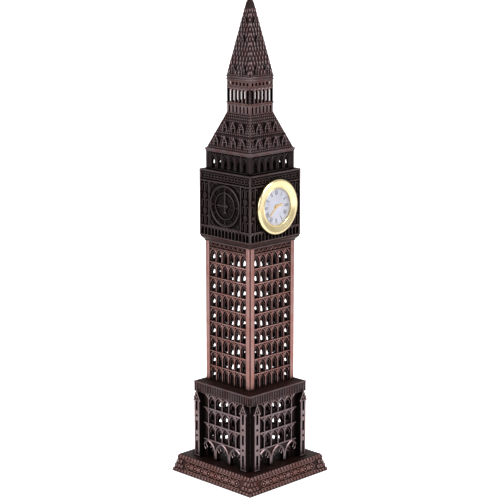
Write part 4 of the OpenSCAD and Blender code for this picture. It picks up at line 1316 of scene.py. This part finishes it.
def lathe(profile, z, steps=128):
    """Turns a closed profile of (radius, y) points about the clock's axis."""
    radius, y = profile[0]
    bpy.ops.mesh.primitive_circle_add(vertices=steps, radius=radius * MM, location=Vector((0, y, z)) * MM,
                                      rotation=(math.pi / 2, 0, 0))
    edit(settle(bpy.context.active_object))
    for new_radius, new_y in list(profile[1:]) + [profile[0]]:
        bpy.ops.mesh.extrude_region_move(TRANSFORM_OT_translate={"value": (0, (new_y - y) * MM, 0)})
        ratio = new_radius / radius
        bpy.ops.transform.resize(value=(ratio, 1, ratio), center_override=Vector((0, new_y, z)) * MM)
        radius, y = new_radius, new_y
    bpy.ops.mesh.select_all(action="SELECT")
    bpy.ops.mesh.remove_doubles(threshold=0.001 * MM)
    return close_edit(turn_outwards=True)


def arc_points(centre, radius, start, end, count):
    """Points of a quarter round or any other arc of a turned profile, by angles in degrees."""
    turns = [math.radians(start + (end - start) * i / (count - 1)) for i in range(count)]
    return [(centre[0] + radius * math.cos(t), centre[1] + radius * math.sin(t)) for t in turns]


# %% [markdown]
# The bezel's profile runs from the flange round the crest and down in steps to the throat, and back
# behind the crystal. It is closed, so the ring is solid.

# %% Bezel
bezel_low, bezel_high = span("bezel")
bezel_r = bezel_high.x
crest_y, back_y = bezel_low.y, bezel_high.y
crystal_front, crystal_back = span("crystal")[0].y, span("crystal")[1].y
THROAT_R = 11.7
SEAT_R = 12.25
FLANGE_R = 16.95

profile = [(FLANGE_R, back_y), (bezel_r - 0.1, back_y), (bezel_r, back_y - 0.1), (bezel_r, crest_y + 1.3)]
profile += arc_points((bezel_r - 1.15, crest_y + 1.15), 1.15, 0, -90, 9)[1:]
profile += [(15.4, crest_y + 0.12), (14.4, crest_y + 0.42), (13.2, crest_y + 0.72), (12.6, crest_y + 0.82)]
profile += arc_points((SEAT_R, crest_y + 0.85), 0.3, -60, -150, 5)
profile += [(THROAT_R, crystal_front - 0.02), (SEAT_R, crystal_front), (SEAT_R, crystal_back),
            (12.85, crystal_back), (12.85, back_y - 0.7), (FLANGE_R, back_y - 0.7)]
bezel = lathe(profile, DIAL_Z)
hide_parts("bezel")
dress(bezel, "bezel_ring", GOLD, "clock_insert")
print("bezel faces:", len(bezel.data.polygons))

# %% [markdown]
# Numerals are plain strokes. Each is drawn upright at the origin and then turned to its hour.

# %% Hours and minutes
dial_front = span("dial")[0].y
INK_THICK = 0.03
NUMERALS = ("XII", "I", "II", "III", "IIII", "V", "VI", "VII", "VIII", "IX", "X", "XI")
NUMERAL_MIDDLE, NUMERAL_TALL = 8.85, 2.9
TICK_MIDDLE = 11.0
STROKE, THIN_STROKE = 0.32, 0.18
WIDTHS = {"I": 0.62, "V": 1.25, "X": 1.25}


def stroke(x0, z0, x1, z1, width):
    """One flat stroke of ink on the dial, drawn about the origin."""
    length = math.hypot(x1 - x0, z1 - z0)
    bpy.ops.mesh.primitive_cube_add(
        size=1, scale=Vector((width, INK_THICK, length)) * MM,
        rotation=(0, math.atan2(x1 - x0, z1 - z0), 0),
        location=Vector(((x0 + x1) / 2, 0, (z0 + z1) / 2)) * MM)
    return bpy.context.active_object


def numeral(letters):
    """A Roman numeral as strokes, centred on the origin."""
    half = NUMERAL_TALL / 2
    x = -sum(WIDTHS[letter] for letter in letters) / 2
    strokes = []
    for letter in letters:
        middle, lean = x + WIDTHS[letter] / 2, WIDTHS[letter] * 0.36
        if letter == "I":
            strokes.append(stroke(middle, -half, middle, half, STROKE))
        elif letter == "V":
            strokes += [stroke(middle - lean, half, middle, -half, STROKE),
                        stroke(middle + lean, half, middle, -half, THIN_STROKE)]
        else:
            strokes += [stroke(middle - lean, half, middle + lean, -half, STROKE),
                        stroke(middle + lean, half, middle - lean, -half, THIN_STROKE)]
        x += WIDTHS[letter]
    return join(strokes)


def set_on_dial(mark, radius, degrees):
    """Turns a mark about the dial's middle to its hour or minute."""
    x, z = polar(radius, degrees)
    mark.rotation_euler.y = math.radians(degrees)
    mark.location = Vector((x, dial_front - INK_THICK / 2, z)) * MM
    return mark


marks = [set_on_dial(numeral(letters), NUMERAL_MIDDLE, HOUR_ANGLE * hour)
         for hour, letters in enumerate(NUMERALS)]
for minute in range(60):
    half_long, width = (0.34, 0.24) if minute % 5 == 0 else (0.14, 0.12)
    marks.append(set_on_dial(stroke(0, -half_long, 0, half_long, width), TICK_MIDDLE, 6 * minute))
dress(join(marks), "dial_print", DIAL_INK, "clock_insert")

ink_front = dial_front - INK_THICK
track = [lathe([(r, dial_front), (r + 0.1, dial_front), (r + 0.1, ink_front), (r, ink_front)], DIAL_Z, 96)
         for r in (6.4, 10.55)]
dress(join(track), "dial_rings", GILT, "clock_insert")

# %% [markdown]
# A small gilt cap covers the arbor where the hands are pressed on.

# %% Hand caps
minute_hand_front = span("minute_hand")[0].y
cap = bead((0, minute_hand_front, DIAL_Z), (0.85, 0.16, 0.85), 20, 8)
dress(settle(cap), "minute_cap", GILT, "minute_arbor")

low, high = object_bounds()
